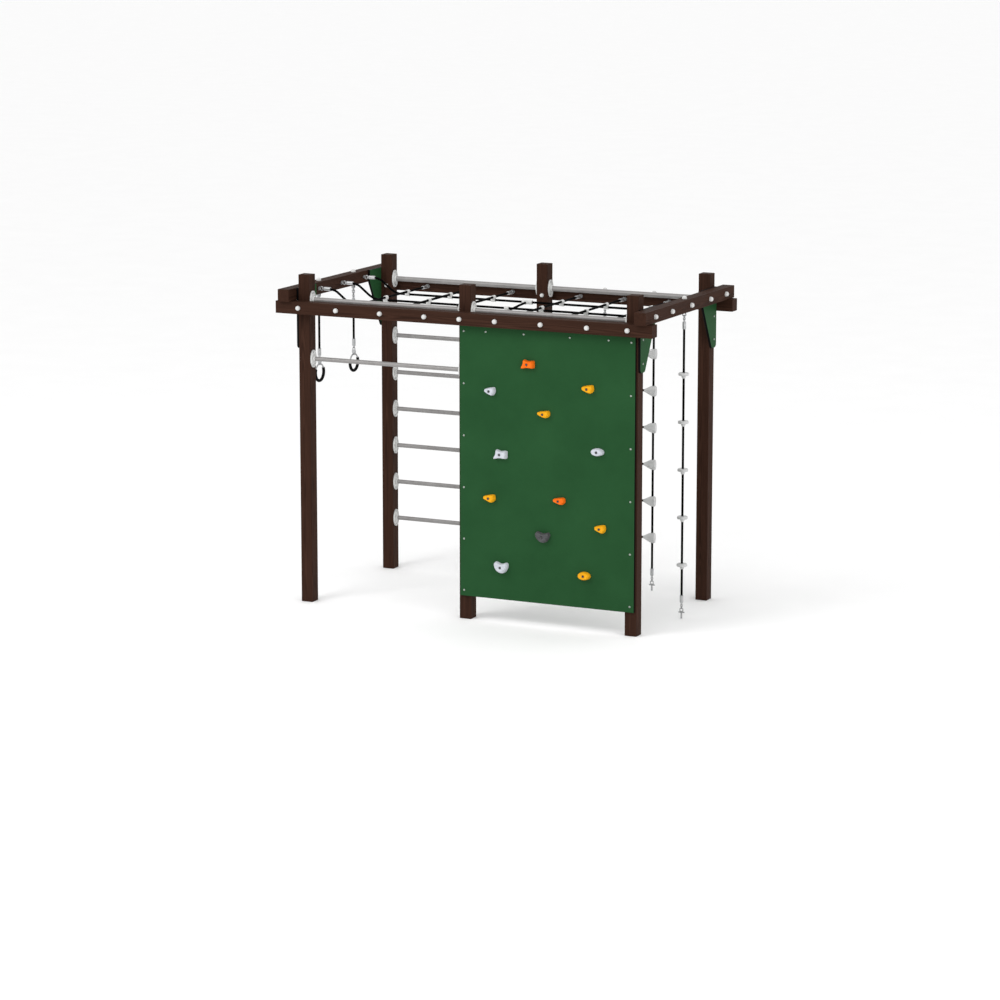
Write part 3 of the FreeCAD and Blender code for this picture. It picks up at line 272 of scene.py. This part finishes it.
def tube_profile(length, outer, wall=0.0025):
    """A tube's wall as a closed loop of points: along the outside, back along the bore."""
    half = length / 2
    bore = outer - wall
    return [(-half, bore), (-half, outer), (half, outer), (half, bore), (-half, bore)]


grey_tube, shader, where = new_finish("grey_powder_coat", metallic=0.2, specular=0.5)
peel = speckle(grey_tube, where, 520.0, 2.0)
haze = speckle(grey_tube, where, 14.0, 4.0)
powder = shades(grey_tube, haze, (0.3, POWDER_DARK), (0.7, POWDER_PALE))
powder_rough = sum_of(grey_tube, "MULTIPLY_ADD", haze, 0.2, 0.30)
dress(grey_tube, shader, powder, powder_rough, peel, depth=0.00012)
top_tubes = [
    set_at(turned(tube_profile(TUBE_LENGTH, TOP_TUBE[0]), 40), (x, y, TOP_TUBE[1]))
    for x in (-BAY_CENTRE, BAY_CENTRE)
    for y in (-BAY_CENTRE, BAY_CENTRE)
]
skin("tubes_top", top_tubes, grey_tube, "frame", "top_tubes")
bar = turned(tube_profile(TUBE_LENGTH, BAR_RADIUS), 40)
skin("bar_turning", [set_at(bar, (-BAY_CENTRE, -BAY_CENTRE, BAR_LEVEL))], grey_tube, "frame", "turning_bar")
wall_bars = [set_at(bar, (-BAY_CENTRE, BAY_CENTRE, level)) for level in BAR_LEVELS]
skin("bars_wall", wall_bars, grey_tube, "frame", "wall_rungs")

# ---- Tube flanges ---------------------------------------------------------------------------
# Oval flanges moulded in white nylon: a dished plate inside a rounded rim, with a socket that
# takes the tube's end. Two screws, above and below the tube, fix each one to its post.

FLANGE_HALF = (0.041, 0.069)
FLANGE_RIM = 0.012
FLANGE_BASE = 0.005
SOCKET_LONG = 0.024
SOCKET_WALL = 0.005


def moulded_finish(name, dark, pale, rough=0.34, specular=0.5):
    """Moulded plastic: a slight haze in the colour and a very fine, soft texture."""
    material, shader, where = new_finish(name, specular=specular)
    haze = speckle(material, where, 21.0, 5.0)
    fine = speckle(material, where, 900.0, 2.0)
    roughness = sum_of(material, "MULTIPLY_ADD", haze, 0.2, rough)
    colour = shades(material, haze, (0.28, (*dark, 1)), (0.72, (*pale, 1)))
    return dress(material, shader, colour, roughness, fine, depth=0.00012)


def flange_grid(tube_radius, around=48):
    """A flange about X, in rings from its back edge over the rim and dish to the socket's mouth.

    Each ring blends from the plate's oval to the socket's circle: its half width and half
    height are the oval's, less an inset, or both the socket's radius.
    """
    half_wide, half_tall = FLANGE_HALF
    mouth = tube_radius + SOCKET_WALL
    oval = [
        (0.0, 0.0),
        (FLANGE_RIM * 0.75, 0.0),
        (FLANGE_RIM * 0.95, 0.0012),
        (FLANGE_RIM, 0.0028),
        (FLANGE_RIM * 0.93, 0.0045),
        (FLANGE_BASE + 0.001, 0.0062),
        (FLANGE_BASE, 0.0085),
    ]
    rings = [(x, half_wide - inset, half_tall - inset) for x, inset in oval]
    round_rings = [
        (FLANGE_BASE, mouth + 0.005),
        (FLANGE_BASE + 0.002, mouth + 0.001),
        (SOCKET_LONG - 0.002, mouth),
        (SOCKET_LONG, mouth - 0.0015),
        (SOCKET_LONG, tube_radius),
        (0, tube_radius),
    ]
    rings += [(x, radius, radius) for x, radius in round_rings]
    rings.append((0.0, half_wide, half_tall))
    x, wide, tall = np.array(rings).T[:, :, None]
    angle = np.linspace(0, 2 * np.pi, around, endpoint=False)
    return np.stack([x + 0 * angle, wide * np.cos(angle), tall * np.sin(angle)], -1)


white_nylon = moulded_finish("white_nylon", (0.56, 0.56, 0.55), (0.68, 0.68, 0.67))
flange_spots = []
for y in (-BAY_CENTRE, BAY_CENTRE):
    for centre in (-BAY_CENTRE, BAY_CENTRE):
        flange_spots.append((centre, y, TOP_TUBE[1], TOP_TUBE[0]))
flange_spots.append((-BAY_CENTRE, -BAY_CENTRE, BAR_LEVEL, BAR_RADIUS))
flange_spots += [(-BAY_CENTRE, BAY_CENTRE, level, BAR_RADIUS) for level in BAR_LEVELS]
half_clear = TUBE_LENGTH / 2 + FLANGE_BASE
flanges = []
for centre, y, level, radius in flange_spots:
    for way in (-1, 1):
        place = (centre + way * half_clear, y, level)
        flanges.append(set_at(flange_grid(radius), place, along=(-way, 0, 0)))
skin("flanges_tube", flanges, white_nylon, "frame", "tube_flanges", crease=50)


def worn_metal(name, dark, pale, rough, scale=60.0):
    """Plated or pressed metal: cloudy reflection and fine scratches."""
    material, shader, where = new_finish(name, metallic=1.0)
    cloud = speckle(material, where, scale, 5.0)
    fine = speckle(material, where, scale * 22, 3.0, 0.7)
    colour = shades(material, cloud, (0.3, (*dark, 1)), (0.7, (*pale, 1)))
    roughness = sum_of(material, "MULTIPLY_ADD", cloud, 0.25, rough)
    return dress(material, shader, colour, roughness, fine, depth=0.00008)


zinc = worn_metal("zinc_plate", (0.36, 0.365, 0.37), (0.52, 0.525, 0.53), rough=0.26)
pale_zinc = worn_metal("pale_zinc", (0.30, 0.33, 0.30), (0.42, 0.46, 0.42), rough=0.40)
dark_steel = worn_metal("dark_steel", (0.09, 0.09, 0.09), (0.16, 0.16, 0.16), rough=0.35)
paint(zinc, "flange_screws", "frame_bolts", "frame_nuts")
paint(pale_zinc, "board_screws")
paint(dark_steel, "hold_bolts")

# ---- Climbing holds -------------------------------------------------------------------------
# Polyester resin cast with sand, so the skin is gritty. Each hold is drawn down onto the panel
# by one socket-head bolt in a stepped hole. The colours follow no order.

PANEL_FACE = -0.7555
HOLD_DEEP = 0.048
BOLT_SEAT = 0.028
BOLT_WELL = 0.010
BOLT_BORE = 0.0053
HOLD_FORMS = {
    "flared": [
        (-1, -0.97), (-0.74, 0), (-0.60, 0.97), (0.05, 0.74),
        (0.92, 0.80), (1, 0), (0.90, -0.80), (0, -0.76),
    ],
    "tapered": [
        (-1, 0.05), (-0.80, 0.55), (0.70, 0.97), (1, 0.45),
        (0.98, -0.35), (0.55, -1), (-0.20, -0.68), (-0.85, -0.25),
    ],
    "bean": [
        (-1, 0.45), (-0.68, 0.98), (0.05, 0.66), (0.78, 0.90),
        (1, 0.35), (0.62, -0.72), (0.05, -1), (-0.68, -0.50),
    ],
    "oval": [
        (-1, 0), (-0.72, 0.70), (0, 1), (0.72, 0.70),
        (1, 0), (0.72, -0.70), (0, -1), (-0.72, -0.70),
    ],
}


def hold_outline(form, steps=9):
    """A closed smooth line through a form's corner points: cubics whose slope at each corner
    is half the step between its neighbours."""
    corners = np.array(HOLD_FORMS[form], float)[:, None]
    t = (np.arange(steps) / steps)[None, :, None]
    line = (
        corners * (1 - 2.5 * t**2 + 1.5 * t**3)
        + np.roll(corners, -1, 0) * (0.5 * t + 2 * t**2 - 1.5 * t**3)
        + np.roll(corners, 1, 0) * (-0.5 * t + t**2 - 0.5 * t**3)
        + np.roll(corners, -2, 0) * (-0.5 * t**2 + 0.5 * t**3)
    )
    return line.reshape(-1, 2)


def hold_grid(form, x, z, wide, tall, seed):
    """A lump in rings from the panel to the crown, then down the bolt's well.

    Each ring is the form's outline at a scale, blended towards the well's circle. Its height
    is the profile's, raised towards the blunt end and along two ribs, with low swells round
    the sides and a dip about the bolt.
    """
    outline = hold_outline(form)
    angle = np.arctan2(outline[:, 1], outline[:, 0])
    # each ring's scale, its share of the height, and its blend towards the well
    profile = np.array([
        (1.00, 0.00, 0), (1.00, 0.12, 0), (0.99, 0.30, 0), (0.97, 0.48, 0), (0.94, 0.62, 0),
        (0.90, 0.75, 0), (0.85, 0.85, 0), (0.78, 0.93, 0), (0.70, 0.98, 0), (0.61, 1.00, 0.08),
        (0.52, 0.99, 0.25), (0.44, 0.95, 0.55), (0.38, 0.91, 0.85), (0.33, 0.89, 1),
    ])
    scale, height, blend = profile.T[:, :, None]
    well = BOLT_WELL + 0.0015
    across = wide / 2 * outline[:, 0] * scale * (1 - blend) + well * np.cos(angle) * blend
    upward = tall / 2 * outline[:, 1] * scale * (1 - blend) + well * np.sin(angle) * blend
    swell = 0.03 * np.sin(3 * angle + seed) + 0.02 * np.cos(7 * angle - 2 * seed)
    blunt = 0.10 * np.cos(angle) * height**2
    rib = -0.07 * np.exp(-((np.abs(across / wide - 0.17) / 0.05) ** 2)) * height**3
    rise = HOLD_DEEP * np.clip(height * (0.86 + swell) + (blunt + rib) * (1 - blend), 0, 0.98)
    lump = np.stack([x + across, PANEL_FACE - rise, z + upward], -1)
    steps = [(BOLT_WELL, HOLD_DEEP * 0.74), (BOLT_WELL, BOLT_SEAT), (BOLT_BORE, BOLT_SEAT), (BOLT_BORE, 0.0)]
    bore = np.array([
        np.stack([x + r * np.cos(angle), 0 * angle + PANEL_FACE - deep, z + r * np.sin(angle)], -1)
        for r, deep in steps
    ])
    return np.concatenate([lump, bore, lump[:1]])


def resin_finish(name, dark, pale):
    """Sand-filled resin: a gritty skin, with small pale grains and a slight mottle."""
    material, shader, where = new_finish(name, specular=0.12)
    grit = speckle(material, where, 650.0, 3.0, 0.7)
    mottle = speckle(material, where, 45.0, 4.0)
    mix = sum_of(material, "MULTIPLY_ADD", grit, 0.35, sum_of(material, "MULTIPLY", mottle, 0.65))
    roughness = sum_of(material, "MULTIPLY_ADD", grit, 0.25, 0.42)
    colour = shades(material, mix, (0.3, (*dark, 1)), (0.7, (*pale, 1)))
    return dress(material, shader, colour, roughness, grit, depth=0.0006)


# each hold's form, its place across and up the panel, and its width and height
HOLDS = {
    "orange": [("flared", 0.539, 2.011, 0.107, 0.069), ("tapered", 0.801, 0.990, 0.096, 0.055)],
    "white": [
        ("tapered", 0.224, 1.786, 0.087, 0.064),
        ("flared", 0.312, 1.307, 0.110, 0.074),
        ("oval", 1.114, 1.387, 0.104, 0.058),
        ("bean", 0.318, 0.435, 0.119, 0.088),
    ],
    "yellow": [
        ("tapered", 1.032, 1.858, 0.095, 0.064),
        ("tapered", 0.670, 1.642, 0.099, 0.055),
        ("tapered", 0.219, 0.963, 0.095, 0.061),
        ("tapered", 1.139, 0.805, 0.087, 0.064),
        ("oval", 1.010, 0.433, 0.101, 0.062),
    ],
    "grey": [("bean", 0.664, 0.701, 0.120, 0.084)],
}
RESINS = {
    "orange": ((0.80, 0.115, 0.004), (0.95, 0.20, 0.010)),
    "white": ((0.50, 0.52, 0.575), (0.62, 0.64, 0.70)),
    "yellow": ((0.74, 0.31, 0.004), (0.90, 0.44, 0.012)),
    "grey": ((0.055, 0.055, 0.058), (0.105, 0.105, 0.110)),
}
for colour, holds in HOLDS.items():
    grids = [hold_grid(*facts, seed=number * 1.7 + facts[1] * 9) for number, facts in enumerate(holds)]
    resin = resin_finish(f"resin_{colour}", *RESINS[colour])
    skin(f"resin_{colour}", grids, resin, "frame", f"holds_{colour}")

# ---- Bolt caps ------------------------------------------------------------------------------
# White nylon snap caps over every bolt head and nut: a low round dome on a short straight skirt.

CAP_RADIUS = 0.0185
CAP_TALL = 0.024
CAP_SKIRT = 0.006
CAP_WALL = 0.003
SMALL_CAP = 0.84
NET_FIRST = 0.296
NET_STEP = 0.378
NET_X = [side * (NET_FIRST + NET_STEP * step) for side in (-1, 1) for step in range(3)]
LONG_ROPE_Y = [-0.375, 0.0, 0.375]
LADDER_X = [0.48, 0.90]
FOOTHOLD_Y = -0.02
RING_Y = {"front": -0.288, "back": 0.288}
BEAM_HALF = 0.0475

dome = np.linspace(0, np.pi / 2, 9)
dome_tall = CAP_TALL - CAP_SKIRT
cap_inner = (0, CAP_RADIUS - CAP_WALL)
cap_outline = [cap_inner, (0, CAP_RADIUS), (CAP_SKIRT, CAP_RADIUS)]
cap_outline += [
    (CAP_SKIRT + dome_tall * math.sin(lift), CAP_RADIUS * math.cos(lift) ** 0.8) for lift in dome[1:-1]
]
cap_outline += [(CAP_TALL, 0), (CAP_TALL - CAP_WALL, 0), (0.014, CAP_RADIUS * 0.7), cap_inner]
cap_shape = turned(cap_outline, 28)
cap_spots = []
small_cap_spots = []
for way in (-1, 1):
    outer_y = way * (LONG_BEAM_Y + BEAM_HALF)
    inner_y = way * (BAY_CENTRE - BEAM_HALF)
    for x in (-POST_GAP, 0, POST_GAP):
        cap_spots.append(((x, outer_y, LONG_BEAM_Z), (0, way, 0)))
        small_cap_spots.append(((x, inner_y, LONG_BEAM_Z), (0, -way, 0)))
    cap_spots += [((x, outer_y, LONG_BEAM_Z), (0, way, 0)) for x in NET_X]
    outer_x = way * (CROSS_BEAM_X + BEAM_HALF)
    cap_spots += [((outer_x, y, CROSS_BEAM_Z), (way, 0, 0)) for y in (-BAY_CENTRE, *LONG_ROPE_Y, BAY_CENTRE)]
cap_spots += [((x, LONG_BEAM_Y, LONG_BEAM_Z + BEAM_HALF), (0, 0, 1)) for x in LADDER_X]
cap_spots.append(((CROSS_BEAM_X, FOOTHOLD_Y, CROSS_BEAM_Z + BEAM_HALF), (0, 0, 1)))
cap_spots += [((-CROSS_BEAM_X, y, CROSS_BEAM_Z + BEAM_HALF), (0, 0, 1)) for y in RING_Y.values()]
caps = []
for shape, spots in ((cap_shape, cap_spots), (cap_shape * SMALL_CAP, small_cap_spots)):
    for place, way in spots:
        caps.append(set_at(shape, place, way, side=(1, 0, 0) if way[2] else (0, 0, 1)))
skin("caps_bolt", caps, white_nylon, "frame", "bolt_caps", crease=60)

# ---- Rope net -------------------------------------------------------------------------------
# 18 mm braided black polyester rope over a steel core, pulled tight between eye bolts. Pressed
# alloy ferrules end the ropes, and white moulded connectors hold them where they cross.

ROPE = 0.018
LONG_ROPE_ROUTE = [
    (-1.3815, 2.4225),
    (-1.308, 2.4225),
    (-1.2501, 2.3771),
    (-1.16, 2.3065),
    (-1.0455, 2.3065),
]
CROSS_ROPE_END = 0.6735
CENTRE_ROPE_ROUTE = [(-0.363, 2.3065), (-0.3, 2.3065), (-0.06, 2.2855)]
ROPE_BLACK = (0.0003, 0.0003, 0.0003, 1)
ROPE_WORN = (0.0018, 0.0018, 0.0019, 1)
BRAID_TURN = 0.052
BRAID_STRANDS = 6
RING_STEP = 0.02

braid, shader, _ = new_finish("braided_rope", specular=0.02)
along_rope = add_node(braid, "ShaderNodeUVMap", uv_map="braid").outputs[0]
lay = add_node(braid, "ShaderNodeSeparateXYZ", {"Vector": along_rope})
lean = sum_of(braid, "MULTIPLY", lay.outputs["X"], 2 * math.pi / BRAID_TURN)
turn = sum_of(braid, "MULTIPLY", lay.outputs["Y"], 2 * math.pi * BRAID_STRANDS)
left_strand = sum_of(braid, "SINE", sum_of(braid, "ADD", turn, lean))
right_strand = sum_of(braid, "SINE", sum_of(braid, "SUBTRACT", turn, lean))
plait = sum_of(braid, "ABSOLUTE", sum_of(braid, "MULTIPLY", left_strand, right_strand))
yarn_map = add_node(braid, "ShaderNodeMapping", {"Vector": along_rope, "Scale": (700.0, 90.0, 1.0)})
yarn = speckle(braid, yarn_map.outputs[0], 1.0, 3.0)
plait_tone = sum_of(braid, "MULTIPLY_ADD", yarn, 0.4, sum_of(braid, "MULTIPLY", plait, 0.6))
braid_colour = shades(braid, plait_tone, (0.1, ROPE_BLACK), (0.9, ROPE_WORN))
braid_rough = sum_of(braid, "MULTIPLY_ADD", yarn, 0.2, 0.55)
dress(braid, shader, braid_colour, braid_rough, plait_tone, depth=0.0009)


def rope(name, route, body, *replaced, around=20):
    """A rope whose centre line is the smooth spline of a route's control points, or a straight
    line where the route is only the two ends of a rope pulled tight.

    A circle is carried along the line, square to it at every step, and its points keep the
    distance along the rope and the angle round it for the braid.
    """
    guide = bpy.data.curves.new(f"{name}_guide", "CURVE")
    guide.dimensions = "3D"
    spline = guide.splines.new("NURBS")
    spline.points.add(len(route) - 1)
    spline.points.foreach_set("co", np.column_stack([route, np.ones(len(route))]).ravel())
    spline.order_u = 3
    spline.use_endpoint_u = True
    spline.resolution_u = 16
    carrier = bpy.data.objects.new(f"{name}_guide", guide)
    line_mesh = bpy.data.meshes.new_from_object(carrier)
    line = np.empty(3 * len(line_mesh.vertices))
    line_mesh.vertices.foreach_get("co", line)
    line = line.reshape(-1, 3)
    bpy.data.objects.remove(carrier)
    bpy.data.meshes.remove(line_mesh)
    run = np.concatenate([[0], np.cumsum(np.linalg.norm(np.diff(line, axis=0), axis=1))])
    steps = np.linspace(0, run[-1], int(run[-1] / RING_STEP) + 2)
    centre = np.stack([np.interp(steps, run, line[:, axis]) for axis in range(3)], -1)
    ahead = np.gradient(centre, axis=0)
    ahead /= np.linalg.norm(ahead, axis=1, keepdims=True)
    sideways = np.array([0.0, 1.0, 0.0]) if abs(ahead[0][1]) < 0.7 else np.array([1.0, 0.0, 0.0])
    upward = np.cross(ahead, sideways)
    upward /= np.linalg.norm(upward, axis=1, keepdims=True)
    beside = np.cross(upward, ahead)
    angle = np.linspace(0, 2 * np.pi, around, endpoint=False)[None, :, None]
    grid = centre[:, None] + ROPE / 2 * (np.cos(angle) * beside[:, None] + np.sin(angle) * upward[:, None])
    rows = len(centre)
    index = np.arange(rows * around).reshape(rows, around)
    next_to = np.roll(index, -1, axis=1)
    quads = np.stack([index[:-1], next_to[:-1], next_to[1:], index[1:]], -1).reshape(-1, 4)
    ends = [index[0].tolist()[::-1], index[-1].tolist()]
    mesh = bpy.data.meshes.new(name)
    mesh.from_pydata(grid.reshape(-1, 3).tolist(), [], quads.tolist() + ends)
    share = np.arange(around + 1) / around
    row, column = np.divmod(np.arange(len(quads)), around)
    corner_u = np.stack([steps[row], steps[row], steps[row + 1], steps[row + 1]], -1).ravel()
    corner_v = np.stack([share[column], share[column + 1], share[column + 1], share[column]], -1).ravel()
    pattern = np.zeros((len(mesh.loops), 2))
    pattern[: len(corner_u)] = np.column_stack([corner_u, corner_v])
    mesh.uv_layers.new(name="braid").data.foreach_set("uv", pattern.ravel())
    mesh.shade_smooth()
    mesh.set_sharp_from_angle(angle=math.radians(60))
    mesh.materials.append(braid)
    piece = place_piece(name, mesh, body, *replaced)
    return piece


long_route = LONG_ROPE_ROUTE + [(-x, z) for x, z in reversed(LONG_ROPE_ROUTE)]
for place, y in zip(("front", "middle", "back"), LONG_ROPE_Y):
    rope(f"rope_long_{place}", [(x, y, z) for x, z in long_route], "frame", f"net_rope_{place}")
for number, x in enumerate(NET_X, 1):
    ends = ((x, -CROSS_ROPE_END, LONG_BEAM_Z), (x, CROSS_ROPE_END, LONG_BEAM_Z))
    rope(f"rope_cross_{number}", ends, "frame", "net_cross_ropes")
centre_route = CENTRE_ROPE_ROUTE + [(-y, z) for y, z in reversed(CENTRE_ROPE_ROUTE)]
rope("rope_centre", [(0, y, z) for y, z in centre_route], "frame", "net_centre_rope")

alloy = worn_metal("pressed_alloy", (0.40, 0.405, 0.41), (0.58, 0.585, 0.59), rough=0.30)
paint(alloy, "net_ferrules", "rope_ferrules")
paint(zinc, "net_eye_bolts", "hanger_eye_bolts", "chain_links", "ground_anchors")
paint(white_nylon, "net_connectors")

# ---- Rope ladder ----------------------------------------------------------------------------
# Two side ropes hang tight from the back beam to ground anchors, with six rope rungs between.
# Grey moulded cones grip the side ropes and take the ends of the rungs.

LADDER_TOP = 2.1846
ROPE_FOOT = 0.142
RUNG_TOP = 1.9
RUNG_PITCH = 0.294
LADDER_RUNGS = [RUNG_TOP - RUNG_PITCH * step for step in range(6)]
RUNG_END = 0.012

for place, x in zip(("left", "right"), LADDER_X):
    ends = ((x, LONG_BEAM_Y, LADDER_TOP), (x, LONG_BEAM_Y, ROPE_FOOT))
    rope(f"rope_ladder_{place}", ends, "frame", f"ladder_rope_{place}")
for number, level in enumerate(LADDER_RUNGS, 1):
    ends = ((LADDER_X[0] + RUNG_END, LONG_BEAM_Y, level), (LADDER_X[1] - RUNG_END, LONG_BEAM_Y, level))
    rope(f"rope_rung_{number}", ends, "frame", "ladder_rungs")

grey_nylon = moulded_finish("grey_nylon", (0.50, 0.50, 0.50), (0.62, 0.62, 0.62), rough=0.38)
paint(grey_nylon, "ladder_cones")

# ---- Foothold rope --------------------------------------------------------------------------
# One rope hangs tight from the right cross beam to a ground anchor, with five round footholds
# moulded on it, each a thick disc on a tapered collar.

FOOTHOLD_ROPE_TOP = 2.2796
foothold_ends = ((CROSS_BEAM_X, FOOTHOLD_Y, FOOTHOLD_ROPE_TOP), (CROSS_BEAM_X, FOOTHOLD_Y, ROPE_FOOT))
rope("rope_foothold", foothold_ends, "frame", "knob_rope")
paint(grey_nylon, "knob_discs")

# ---- Gym rings ------------------------------------------------------------------------------
# Two steel rings with black rubber grips. Each hangs in the eye of a lower shackle, on a short
# rope, two links and an upper shackle, from a swivel in a fork bolted up through the cross beam.

RING_ROPE = (2.2396, 1.894)
RUBBER_DARK = (0.002, 0.002, 0.002)
RUBBER_PALE = (0.006, 0.006, 0.006)

rubber = moulded_finish("black_rubber", RUBBER_DARK, RUBBER_PALE, rough=0.55, specular=0.06)
paint(zinc, "swing_hangers")
for place, y in RING_Y.items():
    ends = ((-CROSS_BEAM_X, y, RING_ROPE[0]), (-CROSS_BEAM_X, y, RING_ROPE[1]))
    rope(f"rope_ring_{place}", ends, f"{place}_line", f"ring_{place}_rope")
    paint(zinc, *(f"ring_{place}_{part}" for part in ("swivel", "chain", "shackle", "hoop")))
    paint(alloy, f"ring_{place}_ferrules")
    paint(rubber, f"ring_{place}_grip")

# ---- Floor, light and camera ----------------------------------------------------------------
# A plain pale floor that runs to the horizon under an even pale sky, one broad soft key light from
# the upper left and a weaker fill from the right.

FLOOR_REACH = 900.0
FLOOR_DROP = 0.001
FLOOR_DARK = (0.96, 0.96, 0.96, 1)
FLOOR_PALE = (0.975, 0.975, 0.975, 1)
SKY_WHITE = (1.0, 1.0, 1.0, 1)
EYE_PLACE = (11.988, -25.110, 6.210)
EYE_TURN = (78.99, 0.0, 25.63)
EYE_LENS = 130.74
EYE_SENSOR = 36.0
LAMP_AIM = (0, 0, 1.3)


def softbox(name, place, size, power):
    """A square area light that faces the middle of the frame."""
    lamp = bpy.data.lights.new(name, "AREA")
    lamp.size = size
    lamp.energy = power
    holder = bpy.data.objects.new(name, lamp)
    bpy.context.scene.collection.objects.link(holder)
    holder.location = place
    towards = Vector(LAMP_AIM) - holder.location
    holder.rotation_euler = towards.to_track_quat("-Z", "Y").to_euler()


ground, shader, where = new_finish("pale_floor", specular=0.1)
dust = speckle(ground, where, 2.0, 3.0)
floor_tone = shades(ground, dust, (0.3, FLOOR_DARK), (0.7, FLOOR_PALE))
floor_rough = sum_of(ground, "MULTIPLY_ADD", dust, 0.1, 0.8)
dress(ground, shader, floor_tone, floor_rough, dust, depth=0.0001)
floor_mesh = bpy.data.meshes.new("floor")
corner_ways = ((-1, -1), (1, -1), (1, 1), (-1, 1))
floor_corners = [(x * FLOOR_REACH, y * FLOOR_REACH, -FLOOR_DROP) for x, y in corner_ways]
floor_mesh.from_pydata(floor_corners, [], [(0, 1, 2, 3)])
floor_mesh.materials.append(ground)
floor = bpy.data.objects.new("floor", floor_mesh)
bpy.context.scene.collection.objects.link(floor)

sky = bpy.data.worlds.new("studio")
sky.use_nodes = True
backdrop = sky.node_tree.nodes["Background"]
backdrop.inputs["Color"].default_value = SKY_WHITE
backdrop.inputs["Strength"].default_value = 1.0
bpy.context.scene.world = sky
bpy.context.scene.view_settings.view_transform = "Standard"

softbox("key", (-3.5, -7.0, 7.5), size=4.0, power=260)
softbox("fill", (8.0, -4.0, 5.0), size=5.0, power=120)

lens = bpy.data.cameras.new("camera")
lens.lens = EYE_LENS
lens.sensor_width = EYE_SENSOR
lens.clip_end = 3000
camera = bpy.data.objects.new("camera", lens)
bpy.context.scene.collection.objects.link(camera)
camera.location = EYE_PLACE
camera.rotation_euler = [math.radians(turn) for turn in EYE_TURN]
bpy.context.scene.camera = camera
